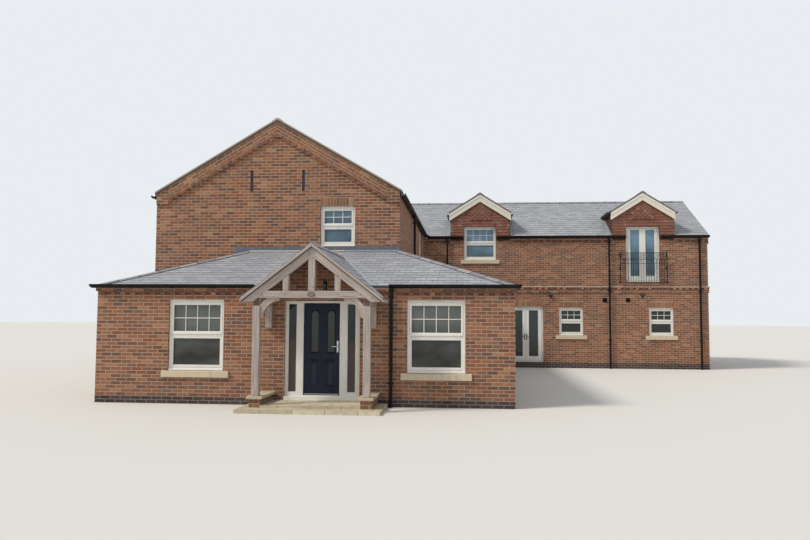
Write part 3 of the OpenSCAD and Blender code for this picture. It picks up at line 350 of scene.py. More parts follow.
brickFinish("brick", bricks.red, "#c4b098")
brickFinish("blueBrick", bricks.blue, "#8f8a84", 0.08)
toneFinish("singleBrick", bricks.red, 60.0, "#5f4038", 0.9, bump=0.5)
# dark brick tones, laid flush in the gaps between dentils as painted shade in the recess
toneFinish("darkBrick", [(0.0, "#6b4a40"), (0.4, "#8a5440"), (0.7, "#5a433e"), (1.0, "#a06a4e")],
           60.0, "#4e3a35", 0.9, bump=0.5)
# tone 0, the darkest stop of the slate and of the hung tile, is painted shade on the faces that
# look down
toneFinish("slate", [(0.0, "#64666b"), (0.05, "#64666b"), (0.07, "#999b9f"), (0.5, "#a4a5a8"),
                     (1.0, "#b0b1b3")], 22.0, "#8b8d92", 0.62, (1.0, 3.0, 1.0))
toneFinish("ridgeTile", [(0.0, "#848489"), (0.4, "#949396"), (0.7, "#9e9b9d"), (1.0, "#aaa6a5")],
           26.0, "#777577", 0.75)
toneFinish("hungTile", [(0.0, "#38241e"), (0.05, "#38241e"), (0.07, "#7e5344"), (0.5, "#93614f"),
                        (0.8, "#876254"), (1.0, "#a57967")], 40.0, "#6e4a3c", 0.8)
oakFinish("oak")
flagFinish("flag")
boardFinish("floor", "#b08a5e", "#8f6c46", 0.14)
glassFinish("glassLow", "#1d1c1b", "#6b706b", 1.15, 1.75, ("#4a3833", "#20292b", "#23261f"))
glassFinish("glassHigh", "#3f525c", "#769cb4", 3.7, 4.9)
glassFinish("glassDoor", "#33352b", "#2c4046", 0.5, 1.7)
glassFinish("glassObscure", "#34342a", "#3d423c", 1.0, 2.0)
for name, colour, second, scale, roughness, more in (
        ("mortar", "#c3b193", "#9b8a6f", 80.0, 0.95, dict(specular=0.2, bump=0.4)),
        ("roofDeck", "#4d4f54", "#3f4146", 20.0, 0.7, dict(bump=0.2)),
        ("lead", "#5f666f", "#7b8189", 9.0, 0.55,
         dict(metallic=0.3, bump=0.2, dirt=(0.3, "#52575e"))),
        ("leadBright", "#aab0b6", "#8f959c", 9.0, 0.5,
         dict(metallic=0.2, bump=0.2, dirt=(0.3, "#777c82"))),
        ("stone", "#d6c7ac", "#b9a68c", 26.0, 0.85,
         dict(specular=0.25, bump=0.35, dirt=(0.35, "#8f836a"))),
        ("white", "#eeebe3", "#e0dcd2", 5.0, 0.35, dict(bump=0.05, dirt=(0.10, "#b8b1a2"))),
        ("cream", "#ebe5d5", "#dad2c0", 8.0, 0.5, dict(bump=0.08, dirt=(0.2, "#a99f88"))),
        ("navy", "#131b30", "#0e1526", 8.0, 0.38, dict(specular=0.25, amount=0.6, bump=0.06)),
        ("navyGloss", "#131b31", "#0e1527", 8.0, 0.3,
         dict(specular=0.36, amount=0.6, bump=0.03)),
        ("black", "#0a0b0e", "#141518", 12.0, 0.45,
         dict(specular=0.2, bump=0.06, dirt=(0.2, "#3a3935"))),
        ("iron", "#101012", "#1e1e21", 40.0, 0.5, dict(metallic=0.2, specular=0.25, bump=0.2)),
        ("chrome", "#d7d9dc", "#b9bdc2", 20.0, 0.18, dict(metallic=1.0, bump=0.02)),
        ("rubber", "#2b2c2e", "#1c1d1f", 30.0, 0.7, dict(bump=0.05)),
        ("pegWoodAndShade", "#6d5744", "#594534", 60.0, 0.8, dict(bump=0.2)),
        ("lampFoot", "#cfc9bd", "#b7b0a3", 20.0, 0.5, {}),
        ("creasing", "#d0bda8", "#b39f8a", 40.0, 0.9, dict(specular=0.2, bump=0.3)),
        ("plaque", "#8a8075", "#6f665d", 40.0, 0.5, dict(specular=0.3)),
        ("lens", "#4c5052", "#3f4244", 60.0, 0.25, dict(specular=0.4)),
        ("pointing", "#3b3735", "#2b2826", 40.0, 0.9, dict(bump=0.3)),
        ("fillet", "#dccfc0", "#bfb1a3", 50.0, 0.9, dict(specular=0.2, bump=0.4)),
        ("bronze", "#4a3c2c", "#2a221a", 20.0, 0.38, dict(metallic=0.8, bump=0.05)),
        ("bedding", "#b7a99e", "#97897f", 50.0, 0.9, dict(specular=0.2, bump=0.4)),
        ("underCloak", "#5a4b41", "#473a32", 40.0, 0.9, dict(bump=0.3)),
        ("slit", "#454a5a", "#383d4b", 20.0, 0.6, {})):
    plainFinish(name, colour, second, scale, roughness, **more)
print("finishes made", len(finish))

nodeFinish = {
    "brick": "extension_wall_left extension_wall_right extension_wall_over_door "
             "extension_left_side_wall extension_right_side_wall main_front_gable "
             "main_rear_gable main_left_wall main_right_wall wing_front_wall_left "
             "wing_front_wall_right wing_wall_over_french_doors wing_rear_wall "
             "wing_end_gable brick_bands porch_dwarf_walls",
    "blueBrick": "blue_plinth",
    "roofDeck": "main_roof wing_roof extension_roof dormer_roofs porch_roof",
    "ridgeTile": "ridge_and_hip_tiles",
    "hungTile": "dormer_walls",
    "lead": "lead_flashings",
    "stone": "stone_sills",
    "flag": "porch_stonework",
    "white": "ground_window_frames upper_window_frames juliet_doors front_door_screen "
             "french_door_frame french_leaf_left french_leaf_right",
    "cream": "dormer_bargeboards",
    "navy": "front_door",
    "chrome": "front_door_handle",
    "iron": "juliet_balcony wall_lights",
    "black": "gutters downpipes",
    "oak": "porch_frame porch_truss porch_braces",
    "glassLow": "ground_window_glass",
    "glassHigh": "upper_window_glass",
    "glassDoor": "french_glass_left french_glass_right",
    "glassObscure": "front_door_glass",
    "floor": "floors",
}
for key, names in nodeFinish.items():
    for name in names.split():
        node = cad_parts[name]
        node.data.materials.clear()
        node.data.materials.append(finish[key])


# helpers for pieces
def toMesh(name, bm):
    mesh = bpy.data.meshes.new(name)
    bm.to_mesh(mesh)
    bm.free()
    return mesh


def piece(name, bm, look, body="house", mirrored=False):
    if mirrored:
        bmesh.ops.recalc_face_normals(bm, faces=bm.faces)
    mesh = toMesh(name, bm)
    item = bpy.data.objects.new(name, mesh)
    bpy.context.scene.collection.objects.link(item)
    for key in look.split():
        mesh.materials.append(finish[key])
    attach(item, body)
    return item


def toned():
    # a mesh whose faces carry a tone
    bm = bmesh.new()
    bm.faces.layers.float.new("tone")
    return bm


def grained():
    # a mesh whose UV map is the grain of the wood
    bm = bmesh.new()
    bm.loops.layers.uv.new("grain")
    return bm


def merge(bm, part, turn=None):
    # adds one small mesh to a larger one
    if turn:
        bmesh.ops.transform(part, matrix=turn, verts=part.verts)
    mesh = toMesh("part", part)
    bm.from_mesh(mesh)
    bpy.data.meshes.remove(mesh)


def moveTo(x, y=0.0, z=0.0):
    return Matrix.Translation((x, y, z))


def rotate(angle, axis="X"):
    return Matrix.Rotation(angle, 4, axis)


def axesTurn(x, y, z, at=(0, 0, 0)):
    # a frame from its three axes and its place
    turn = Matrix((x, y, z)).transposed().to_4x4()
    turn.translation = at
    return turn


quarter = math.pi / 2
flipY = Matrix.Diagonal((1, -1, 1, 1))
swapXY = axesTurn((0, 1, 0), (1, 0, 0), (0, 0, 1))


def facesOf(verts):
    return list({face for v in verts for face in v.link_faces})


def dress(bm, faces, mat, tone=None):
    for face in faces:
        face.material_index = mat
        if tone is not None:
            face[bm.faces.layers.float["tone"]] = tone


def ease(bm, edges, bevel):
    # arrises taken off
    if bevel:
        bmesh.ops.bevel(bm, geom=list(edges), offset=bevel, affect="EDGES", segments=1,
                        profile=0.5, material=-1)


def edgesOf(faces):
    return {edge for face in faces for edge in face.edges}


def push(bm, faces, move):
    grown = bmesh.ops.extrude_face_region(bm, geom=faces)["geom"]
    moved = [v for v in grown if isinstance(v, bmesh.types.BMVert)]
    bmesh.ops.translate(bm, verts=moved, vec=move)
    return moved


def inset(bm, face, width, depth=0.0):
    return bmesh.ops.inset_region(bm, faces=[face], thickness=width, depth=depth,
                                  use_boundary=True, use_even_offset=True)["faces"]


def band(bm, face, width, depth, mat):
    # leaves a band inside the edge of a flat face and draws it out along Y
    rim = inset(bm, face, width)
    bmesh.ops.delete(bm, geom=[face], context="FACES")
    moved = push(bm, rim, (0, depth, 0))
    faces = list(set(facesOf(moved)) | set(rim))
    dress(bm, faces, mat)
    return moved, faces


def block(bm, low, high, bevel=0.0, turn=Matrix.Identity(4), mat=0, tone=None):
    # a box between two corners, its arrises eased where bevel is given
    low, high = Vector(low), Vector(high)
    shape = Matrix.Translation((low + high) / 2) @ Matrix.Diagonal((high - low).to_4d())
    faces = facesOf(bmesh.ops.create_cube(bm, size=1, matrix=turn @ shape)["verts"])
    dress(bm, faces, mat, tone)
    ease(bm, edgesOf(faces), bevel)


def rod(bm, start, end, radius, sides=12, mat=0):
    start, end = Vector(start), Vector(end)
    turn = (end - start).to_track_quat("Z", "Y").to_matrix().to_4x4()
    made = bmesh.ops.create_cone(bm, cap_ends=True, segments=sides, radius1=radius,
                                 radius2=radius, depth=(end - start).length,
                                 matrix=Matrix.Translation((start + end) / 2) @ turn)
    dress(bm, facesOf(made["verts"]), mat)


def ring(bm, box, width, front, back, bevel=0.0, mat=0):
    # a flat frame in the X Z plane: box is left, right, foot, head
    left, right, foot, head = box
    made = bmesh.ops.create_grid(
        bm, x_segments=1, y_segments=1, size=0.5,
        matrix=moveTo((left + right) / 2, back, (foot + head) / 2) @ rotate(quarter)
        @ Matrix.Diagonal((right - left, head - foot, 1, 1)))
    moved, faces = band(bm, made["verts"][0].link_faces[0], width, front - back, mat)
    # the front's long edges, not its mitres
    ease(bm, [e for e in edgesOf(faces) if all(v in moved for v in e.verts)
              and len({round(v.co.x, 5) for v in e.verts})
              + len({round(v.co.z, 5) for v in e.verts}) == 3], bevel)


def hoop(bm, at, radius, width, thick, segments=14, mat=0):
    # a flat ring in the X Z plane, its front at the given place
    made = bmesh.ops.create_circle(bm, cap_ends=True, segments=segments, radius=radius,
                                   matrix=Matrix.Translation(at) @ rotate(quarter))
    faces = band(bm, made["verts"][0].link_faces[0], width, thick, mat)[1]
    bmesh.ops.recalc_face_normals(bm, faces=faces)


def grow(box, by):
    left, right, foot, head = box
    return left - by, right + by, foot - by, head + by


def sweep(bm, outline, at, depth, bevel=0.0, mat=0, tone=None):
    # a closed outline in the X Z plane of a frame, drawn out along the frame's Y
    low = [bm.verts.new(at @ Vector((x, 0, z))) for x, z in outline]
    moved = push(bm, [bm.faces.new(low)], at.to_3x3() @ Vector((0, depth, 0)))
    faces = facesOf(low + moved)
    bmesh.ops.recalc_face_normals(bm, faces=faces)
    dress(bm, faces, mat, tone)
    ease(bm, edgesOf(faces), bevel)


def plate(bm, start, end, side, width, thick, lift, mat=0):
    # a strip from start to end that lies to one side of that line, lifted off its surface
    start, end, side = Vector(start), Vector(end), Vector(side)
    along = (end - start).normalized()
    side = (side - along * side.dot(along)).normalized()
    out = along.cross(side)
    if out.z < 0 or (abs(out.z) < 0.001 and out.y > 0):
        out = -out
    middle = (start + end) / 2 + side * width / 2 + out * (lift + thick / 2)
    made = bmesh.ops.create_cube(bm, size=1, matrix=axesTurn(along, side, out, middle)
                                 @ Matrix.Diagonal(((end - start).length, width, thick, 1)))
    faces = facesOf(made["verts"])
    bmesh.ops.recalc_face_normals(bm, faces=faces)
    dress(bm, faces, mat)


def cutAway(bm, cuts, sides=0):
    # takes off what lies past each (point, normal), and closes holes of up to so many sides
    for point, normal in cuts:
        bmesh.ops.bisect_plane(bm, geom=bm.verts[:] + bm.edges[:] + bm.faces[:], dist=0.0001,
                               plane_co=point, plane_no=normal, clear_outer=True)
    if sides:
        bmesh.ops.holes_fill(bm, edges=[e for e in bm.edges if e.is_boundary], sides=sides)


def past(axis, place, sign=1):
    # a cut at a place on one axis; what lies before it goes where sign is -1
    point, normal = Vector(), Vector()
    setattr(point, axis, place)
    setattr(normal, axis, sign)
    return point, normal


def timber(bm, outline, at, depth, axis, bevel=0.005):
    # an oak member whose UV map runs along its grain
    part = grained()
    grain = part.loops.layers.uv["grain"]
    sweep(part, outline, at, depth, bevel)
    part.normal_update()
    axis = Vector(axis).normalized()
    shift = rng.uniform(0, 30)
    for face in part.faces:
        side = face.normal.cross(axis)
        if side.length < 0.4:
            side = Vector((face.normal.y + 0.2, 0.3, face.normal.x)).cross(face.normal)
        side.normalize()
        for loop in face.loops:
            place = loop.vert.co
            loop[grain].uv = (place.dot(axis) + shift, place.dot(side) + shift)
    merge(bm, part)


def beam(bm, low, high, axis, bevel=0.006):
    # a square timber between two corners
    wide, deep, tall = (high[i] - low[i] for i in range(3))
    timber(bm, [(0, 0), (wide, 0), (wide, tall), (0, tall)], moveTo(*low), deep, axis, bevel)


def wallTurn(wall):
    # from wall axes, X along and Y inwards, to the house
    fronts = dict(extFront=0, mainFront=h.extD, wingFront=h.wingY)
    if wall in fronts:
        return moveTo(0, fronts[wall])
    if wall.endswith("Rear"):
        return moveTo(0, h.rearY) @ flipY
    if wall == "mainLeft":
        return swapXY
    return moveTo(dict(extRight=h.extW, mainRight=h.span, wingEnd=h.wingEnd)[wall]) \
        @ rotate(quarter, "Z")


def mirrorX(outline, sign):
    return [(x * sign, z) for x, z in outline]


# slates, laid in courses and cut along hips, valleys and cheeks
slates = Sizes(width=0.25, gauge=0.2, lap=0.04, thick=0.007, gap=0.007, lift=0.002)
tiles = Sizes(width=0.165, gauge=0.107, lap=0.03, thick=0.016, gap=0.004, lift=0.002)


def shadeTails(bm, verts, up, limit, tone):
    # faces that look down get tone 0, which the finish shows as shade
    for face in facesOf(verts):
        face.normal_update()
        face[bm.faces.layers.float["tone"]] = 0.0 if face.normal.dot(up) < limit else tone


def layCourses(bm, sizes, start, along, up, reach, cuts):
    # lapped units over a plane: start is its low corner
    s = sizes
    along, up = Vector(along).normalized(), Vector(up).normalized()
    out = along.cross(up)
    part = toned()
    tilt = math.atan2(s.thick, s.gauge)
    length = s.gauge + s.lap
    for row in range(math.ceil(reach[1] / s.gauge)):
        for column in range(-1, math.ceil(reach[0] / s.width) + 1):
            at = (column + 0.5 * (row % 2)) * s.width
            foot = Vector(start) + along * (at + s.width / 2) + up * row * s.gauge
            middle = foot + up * s.gauge / 2
            if any((middle - Vector(point)).dot(Vector(normal).normalized()) > s.gauge * 1.2
                   for point, normal in cuts):
                continue
            dip = rng.uniform(-0.0012, 0.0012)
            turn = axesTurn(along, up, out, foot + out * (s.lift + s.thick * 1.5 + dip)) \
                @ rotate(-tilt) @ moveTo(0, length / 2 + rng.uniform(-0.003, 0.003)) \
                @ Matrix.Diagonal((s.width - s.gap, length, s.thick, 1))
            made = bmesh.ops.create_cube(part, size=1, matrix=turn)
            shadeTails(part, made["verts"], up, -0.8, 0.08 + 0.92 * rng.random())
    cutAway(part, cuts, 10)
    merge(bm, part)


def underValley(x, ridge, rise, sign):
    # what a small roof covers of the slope below, on one side of its ridge
    return (x, 0, ridge), (-sign * rise, 0, -1.0)


# main roof: left and right slopes, past both gables
mainEnds = [past("y", h.rearY + h.gable), past("y", h.extD - h.gable, -1)]
mainReach = (h.rearY - h.extD + 2 * h.gable, 3.7)
foot = h.mainEave - mainSlope * h.eave
bm = toned()
layCourses(bm, slates, (-h.eave, h.rearY + h.gable, foot), (0, -1, 0), (1, 0, mainSlope),
           mainReach, [past("x", ridgeX)] + mainEnds)
layCourses(bm, slates, (h.span + h.eave, h.extD - h.gable, foot), (0, 1, 0),
           (-1, 0, mainSlope), mainReach, [past("x", ridgeX, -1)] + mainEnds)
piece("slates_main", bm, "slate")

# wing roof: front slope in strips between, beside and above the dormers, and the rear slope
wingFoot = (h.span - 3.2, h.wingY - h.eave, h.wingEave - wingSlope * h.eave)
wingReach = (h.wingEnd + h.gable - wingFoot[0], 3.62)
ends = [past("x", h.wingEnd + 0.054), underValley(ridgeX, h.mainRidge, mainSlope, 1)]
strips = []
edge = wingFoot[0]
for x in h.dormers:
    strips.append([past("x", edge, -1), past("x", x - h.dormerHalf)])
    for sign in (-1, 1):
        strips.append([past("x", x, -sign), past("x", x + sign * h.dormerHalf, sign),
                       underValley(x, h.dormerRidge, h.dormerRise, sign)])
    edge = x + h.dormerHalf
strips.append([past("x", edge, -1)])
bm = toned()
for strip in strips:
    layCourses(bm, slates, wingFoot, (1, 0, 0), (0, 1, wingSlope), wingReach,
               ends + [past("y", ridgeY)] + strip)
layCourses(bm, slates, (h.wingEnd + h.gable, h.rearY + h.eave, wingFoot[2]), (-1, 0, 0),
           (0, -1, wingSlope), wingReach, ends + [past("y", ridgeY, -1)])
piece("slates_wing", bm, "slate")

# lean-to roof: the front from each hip to the porch valley, then the left and right slopes
hipLeft = ((0, 0, 0), Vector((h.extD, -h.hipX, 0)))
hipRight = ((h.extW, 0, 0), Vector((-h.extD, -(h.extW - h.span), 0)))
bm = toned()
for sign, hip in ((-1, hipLeft), (1, hipRight)):
    layCourses(bm, slates, (-h.eave, -h.eave, h.extEave - frontRise * h.eave), (1, 0, 0),
               (0, 1, frontRise), (h.extW + 2 * h.eave, 2.95),
               [(hip[0], -hip[1]), past("x", h.porchX, -sign),
                underValley(h.porchX, h.porchRidge, h.porchRise, sign), past("y", h.extD)])
layCourses(bm, slates, (-h.eave, h.extD, h.extEave - leftRise * h.eave), (0, -1, 0),
           (1, 0, leftRise), (h.extD + h.eave, 2.6), [hipLeft, past("y", h.extD)])
layCourses(bm, slates, (h.extW + h.eave, -h.eave, h.extEave - rightRise * h.eave), (0, 1, 0),
           (-1, 0, rightRise), (h.wingY + h.eave, 2.85),
           [hipRight, past("x", h.span, -1), past("y", h.wingY)])
piece("slates_extension", bm, "slate")

# porch and dormer roofs
porchFront = -1.0
overLeanTo = ((0, 0, h.extEave), (0, frontRise, -1.0))
overWing = ((0, h.wingY, h.wingEave), (0, wingSlope, -1.0))
bm = toned()
for sign in (-1, 1):
    layCourses(bm, slates, (h.porchX + sign * h.porchHalf, porchFront if sign > 0 else h.extD,
                            h.porchRidge - h.porchHalf * h.porchRise),
               (0, sign, 0), (-sign, 0, h.porchRise), (h.extD - porchFront, 1.75),
               [past("x", h.porchX, -sign), past("y", porchFront, -1),
                past("y", h.extD - 0.4), overLeanTo])
    for x in h.dormers:
        layCourses(bm, slates, (x + sign * h.dormerRoofHalf, dormerFront if sign > 0 else ridgeY,
                                h.dormerRidge - h.dormerRoofHalf * h.dormerRise),
                   (0, sign, 0), (-sign, 0, h.dormerRise), (ridgeY - dormerFront, 1.35),
                   [past("x", x, -sign), past("y", dormerFront, -1), overWing])
piece("slates_porch_and_dormers", bm, "slate")
print("slates laid")

# hanging tiles on the dormer fronts, round a window and a door, and on the cheeks
hung = Sizes(foot=4.71, face=h.wingY - 0.03, under=0.115, top=5.5,
             openings=((0.5825, 5.145), (0.59, 5.105)))
bm = toned()
for x, (half, head) in zip(h.dormers, hung.openings):
    around = [((x, 0, h.dormerRidge - hung.under), (s * h.dormerRise, 0, 1.0)) for s in (-1, 1)] \
        + [past("x", x - h.dormerHalf, -1), past("x", x + h.dormerHalf)]
    for limit in ([past("x", x - half)], [past("x", x + half, -1)],
                  [past("x", x - half, -1), past("x", x + half), past("z", head, -1)]):
        layCourses(bm, tiles, (x - 1.155, hung.face, hung.foot), (1, 0, 0), (0, 0, 1),
                   (2.4, 1.6), around + limit)
    for sign in (-1, 1):
        layCourses(bm, tiles, (x + sign * h.dormerHalf, hung.face if sign > 0 else ridgeY,
                               hung.foot), (0, sign, 0), (0, 0, 1), (1.9, 1.0),
                   [past("z", hung.top), overWing, past("y", hung.face, -1)])
piece("hanging_tiles", bm, "hungTile")
print("tiles hung")

# sash windows: wall, foot, kind, and the left edge of each
sash = Sizes(frameSide=0.09, frameEnd=0.115, rail=0.15, face=0.055, bar=0.017, glass=0.085,
             wide=(1.19, 1.48), small=(0.86, 1.0), dormer=(1.165, 1.23))
windows = [(wall, at, foot, kind) for wall, foot, kind, places in (
    ("extFront", 0.69, "wide", (1.573, 6.597)), ("wingFront", 1.18, "small", (11.084, 14.258)),
    ("extRight", 0.69, "wide", (1.377, 5.32, 9.263)),
    ("mainLeft", 1.18, "small", (4.858, 9.943, 15.028)), ("mainRear", 0.69, "wide", (2.49,)),
    ("wingRear", 0.69, "wide", (7.268, 10.655, 14.042)), ("wingEnd", 1.18, "small", (14.485,)),
    ("mainFront", 3.545, "small", (4.2,)), ("mainRight", 3.545, "dormer", (9.45,)),
    ("wingFront", 3.915, "dormer", (7.6575,)),
    ("mainLeft", 3.545, "small", (4.858, 9.943, 15.028)), ("mainRear", 3.545, "small", (2.655,)),
    ("wingRear", 3.545, "small", (7.433, 10.82, 14.207)),
    ("wingEnd", 3.545, "small", (14.485,))) for at in places]


def dressWindow(bm, at, foot, kind):
    # beads, glazing bars, gaskets and a sub-sill
    s = sash
    width, height = s[kind]
    light = (height - 2 * s.frameEnd - s.rail) / 2
    low = foot + s.frameEnd
    high = low + light + s.rail
    left, right = at + s.frameSide, at + width - s.frameSide
    y = s.face
    # outer frame, upper sash and lower sash
    ring(bm, (at + 0.002, at + width - 0.002, foot + 0.004, foot + height - 0.002), 0.04,
         y - 0.008, y + 0.004, 0.004)
    ring(bm, (left - 0.042, right + 0.042, high - 0.062, high + light + 0.062), 0.042,
         y - 0.012, y + 0.004, 0.005)
    ring(bm, (left - 0.042, right + 0.042, low - 0.05, low + light + 0.045), 0.042,
         y - 0.002, y + 0.018, 0.005)
    for z in (low, high):
        pane = (left, right, z, z + light)
        ring(bm, pane, 0.008, s.glass - 0.012, s.glass - 0.001, mat=1)
        ring(bm, grow(pane, 0.001), 0.004, y + 0.004, s.glass - 0.002)
    # the meeting rail of the lower sash, with its catch
    block(bm, (left - 0.044, y - 0.003, low + light + 0.05),
          (right + 0.044, y + 0.004, low + light + 0.068), 0.004)
    middle = (left + right) / 2
    rod(bm, (middle, y - 0.02, low + light + 0.07), (middle, y + 0.002, low + light + 0.07),
        0.011, 10)
    columns = 3 if kind == "small" else 4
    for i in range(1, columns):
        x = left + (right - left) * i / columns
        block(bm, (x - s.bar / 2, s.glass - 0.014, high),
              (x + s.bar / 2, s.glass + 0.001, high + light), 0.005)
    z = high + light / 2
    block(bm, (left, s.glass - 0.0135, z - s.bar / 2), (right, s.glass + 0.001, z + s.bar / 2),
          0.005)
    # sub-sill that throws water clear, and the vent in the head
    block(bm, (at + 0.001, 0.012, foot + 0.001), (at + width - 0.001, y + 0.004, foot + 0.03),
          0.006)
    if kind != "small":
        middle = at + width / 2
        block(bm, (middle - 0.19, y - 0.024, foot + height - 0.052),
              (middle + 0.19, y - 0.006, foot + height - 0.024), 0.005)


for group in ("ground", "upper"):
    bm = bmesh.new()
    for wall, at, foot, kind in windows:
        if (foot > 3) == (group == "upper"):
            part = bmesh.new()
            dressWindow(part, at, foot, kind)
            merge(bm, part, wallTurn(wall))
    piece(group + "_sash_beads", bm, "white rubber", mirrored=True)
print("windows dressed")

# oak porch: posts, plates, truss and braces, with the grain along each member
porch = Sizes(front=-0.97, post=0.14, postAt=1.085, foot=0.29, plateFoot=2.03, tieFoot=2.182,
              tieTop=2.32, roofUnder=3.17, rafter=0.178, rafterEnd=1.365, levelCut=2.108,
              king=0.066, strut=0.51, strutHalf=0.058, wallPost=0.1, wallFoot=1.59, back=0.04,
              reach=0.375, bite=0.069, brace=0.125, braceWide=0.07, peg=0.0105,
              boardDeep=0.062, boardThick=0.018, boardWide=0.016)
q = porch
porchAt = moveTo(h.porchX, q.front)


def rafterTop(x):
    return q.roofUnder - h.porchRise * abs(x)


bm = grained()
for sign in (-1, 1):
    x = h.porchX + sign * q.postAt
    half = q.post / 2
    beam(bm, (x - half, q.front, q.foot), (x + half, q.front + q.post, q.plateFoot),
         (0, 0, 1), 0.008)
    beam(bm, (x - half, q.front + q.back, q.plateFoot + 0.001), (x + half, -0.001, q.tieFoot),
         (0, 1, 0), 0.007)
    beam(bm, (x - half + 0.005, -q.wallPost, q.wallFoot), (x + half - 0.005, -0.001, q.plateFoot),
         (0, 0, 1), 0.007)
frameOak = piece("porch_oak_posts", bm, "oak")
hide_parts("porch_frame")

bm = grained()
cut, tieLow, tieHigh = ((q.roofUnder - q.rafter - z) / h.porchRise
                        for z in (q.levelCut, q.tieFoot, q.tieTop))
tieLow, tieHigh = tieLow - 0.002, tieHigh - 0.002
first = q.king + 0.001
low, high = q.strut - q.strutHalf, q.strut + q.strutHalf
rafterLine = [(first, rafterTop(first) - q.rafter), (first, rafterTop(first)),
              (q.rafterEnd, rafterTop(q.rafterEnd)), (q.rafterEnd, q.levelCut),
              (cut, q.levelCut)]
strutLine = [(low, q.tieTop + 0.001), (high, q.tieTop + 0.001),
             (high, rafterTop(high) - q.rafter - 0.001), (low, rafterTop(low) - q.rafter - 0.001)]
for sign in (-1, 1):
    timber(bm, mirrorX(rafterLine, sign), porchAt, q.post, (sign, 0, -h.porchRise), 0.006)
    timber(bm, mirrorX(strutLine, sign), porchAt @ moveTo(0, 0.006), q.post - 0.012, (0, 0, 1),
           0.006)
timber(bm, [(-tieLow, q.tieFoot), (tieLow, q.tieFoot), (tieHigh, q.tieTop), (-tieHigh, q.tieTop)],
       porchAt, q.post, (1, 0, 0), 0.006)
timber(bm, [(-q.king, q.tieTop + 0.001), (q.king, q.tieTop + 0.001), (q.king, rafterTop(q.king)),
            (0, q.roofUnder), (-q.king, rafterTop(q.king))], porchAt, q.post, (0, 0, 1), 0.006)
trussOak = piece("porch_oak_truss", bm, "oak")
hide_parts("porch_truss")

bm = grained()
outer = q.reach + q.bite
inner = outer - q.brace
first = math.acos(q.reach / outer)
arc = [(outer * math.cos(a), outer * math.sin(a))
       for a in [first + (quarter - 2 * first) * i / 6 for i in range(7)]]
hollow = [(inner * math.cos(a), inner * math.sin(a))
          for a in [quarter * (1 - i / 16) for i in range(17)]]
corner = q.postAt - q.post / 2 - q.reach
for sign in (-1, 1):
    line = [((x + corner) * sign, z + q.tieFoot - q.reach)
            for x, z in [(q.reach, 0)] + arc + [(0, q.reach)] + hollow]
    timber(bm, line, porchAt @ moveTo(0, (q.post - q.braceWide) / 2), q.braceWide,
           (sign, 0, -1), 0.003)
braceOak = piece("porch_oak_braces", bm, "oak")
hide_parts("porch_braces")

# oak cover boards along the verge and the eaves of the porch roof
bm = grained()
foot = h.porchRidge - h.porchHalf * h.porchRise
line = [(0.0, h.porchRidge), (h.porchHalf, foot), (h.porchHalf, foot - q.boardDeep),
        (0.0, h.porchRidge - q.boardDeep)]
for sign in (-1, 1):
    timber(bm, mirrorX(line, sign), moveTo(h.porchX, porchFront - q.boardThick), q.boardThick,
           (sign, 0, -h.porchRise), 0.003)
    x0, x1 = sorted((h.porchX + sign * h.porchHalf,
                     h.porchX + sign * (h.porchHalf + q.boardWide)))
    beam(bm, (x0, porchFront - q.boardThick, foot - 0.082), (x1, -0.001, foot - 0.012),
         (0, 1, 0), 0.003)
piece("porch_cover_boards", bm, "oak")

# pegs in the truss, the dark end grain of the wall plates, darkened further as painted shade where
# they sit back under the truss, and the bare oval plate
bm = bmesh.new()
for x, z in ((-0.965, 2.251), (-0.51, 2.251), (0.51, 2.251), (0.965, 2.251), (-0.028, 2.42),
             (0.03, 2.39), (-1.19, 2.19), (1.19, 2.19), (-0.52, 2.61), (0.52, 2.61),
             (-0.03, 2.94), (0.03, 2.96)):
    rod(bm, (h.porchX + x, q.front - 0.004, z), (h.porchX + x, q.front + 0.03, z), q.peg, 10)
for sign in (-1, 1):
    x = h.porchX + sign * q.postAt
    # plate ends: dark end grain, with painted shade where they sit back under the truss
    block(bm, (x - 0.062, q.front + q.back - 0.002, q.plateFoot + 0.008),
          (x + 0.062, q.front + q.back + 0.002, q.tieFoot - 0.008), 0.001)
piece("porch_pegs", bm, "pegWoodAndShade")
oval = Sizes(z=2.252, squash=0.6, radius=0.072, top=0.064, thick=0.014, rim=0.071, wide=0.008)
plateAt = moveTo(h.porchX, q.front, oval.z) @ Matrix.Diagonal((1.0, 1.0, oval.squash, 1))
bm = bmesh.new()
bmesh.ops.create_cone(bm, cap_ends=True, segments=36, radius1=oval.radius, radius2=oval.top,
                      depth=oval.thick, matrix=plateAt @ moveTo(0, -oval.thick / 2)
                      @ rotate(quarter))
part = bmesh.new()
hoop(part, (0, 0, 0), oval.rim, oval.wide, oval.wide, 36, mat=1)
merge(bm, part, plateAt @ moveTo(0, -0.017))
piece("porch_oval_plate", bm, "plaque iron")
print("porch framed")

# ridge and hip tiles in single lengths, over dark beds: the narrow bed shows as dark joints
# between the tiles, and the wider, lower bed is a line of painted shadow along their lower
# edges; each bed's share of the width, and how much lower it lies
ridge = Sizes(length=0.45, gap=0.026, half=0.13, top=0.033, thick=0.018, crown=0.022,
              beds=((0.99, 0.002), (1.05, 0.012)))


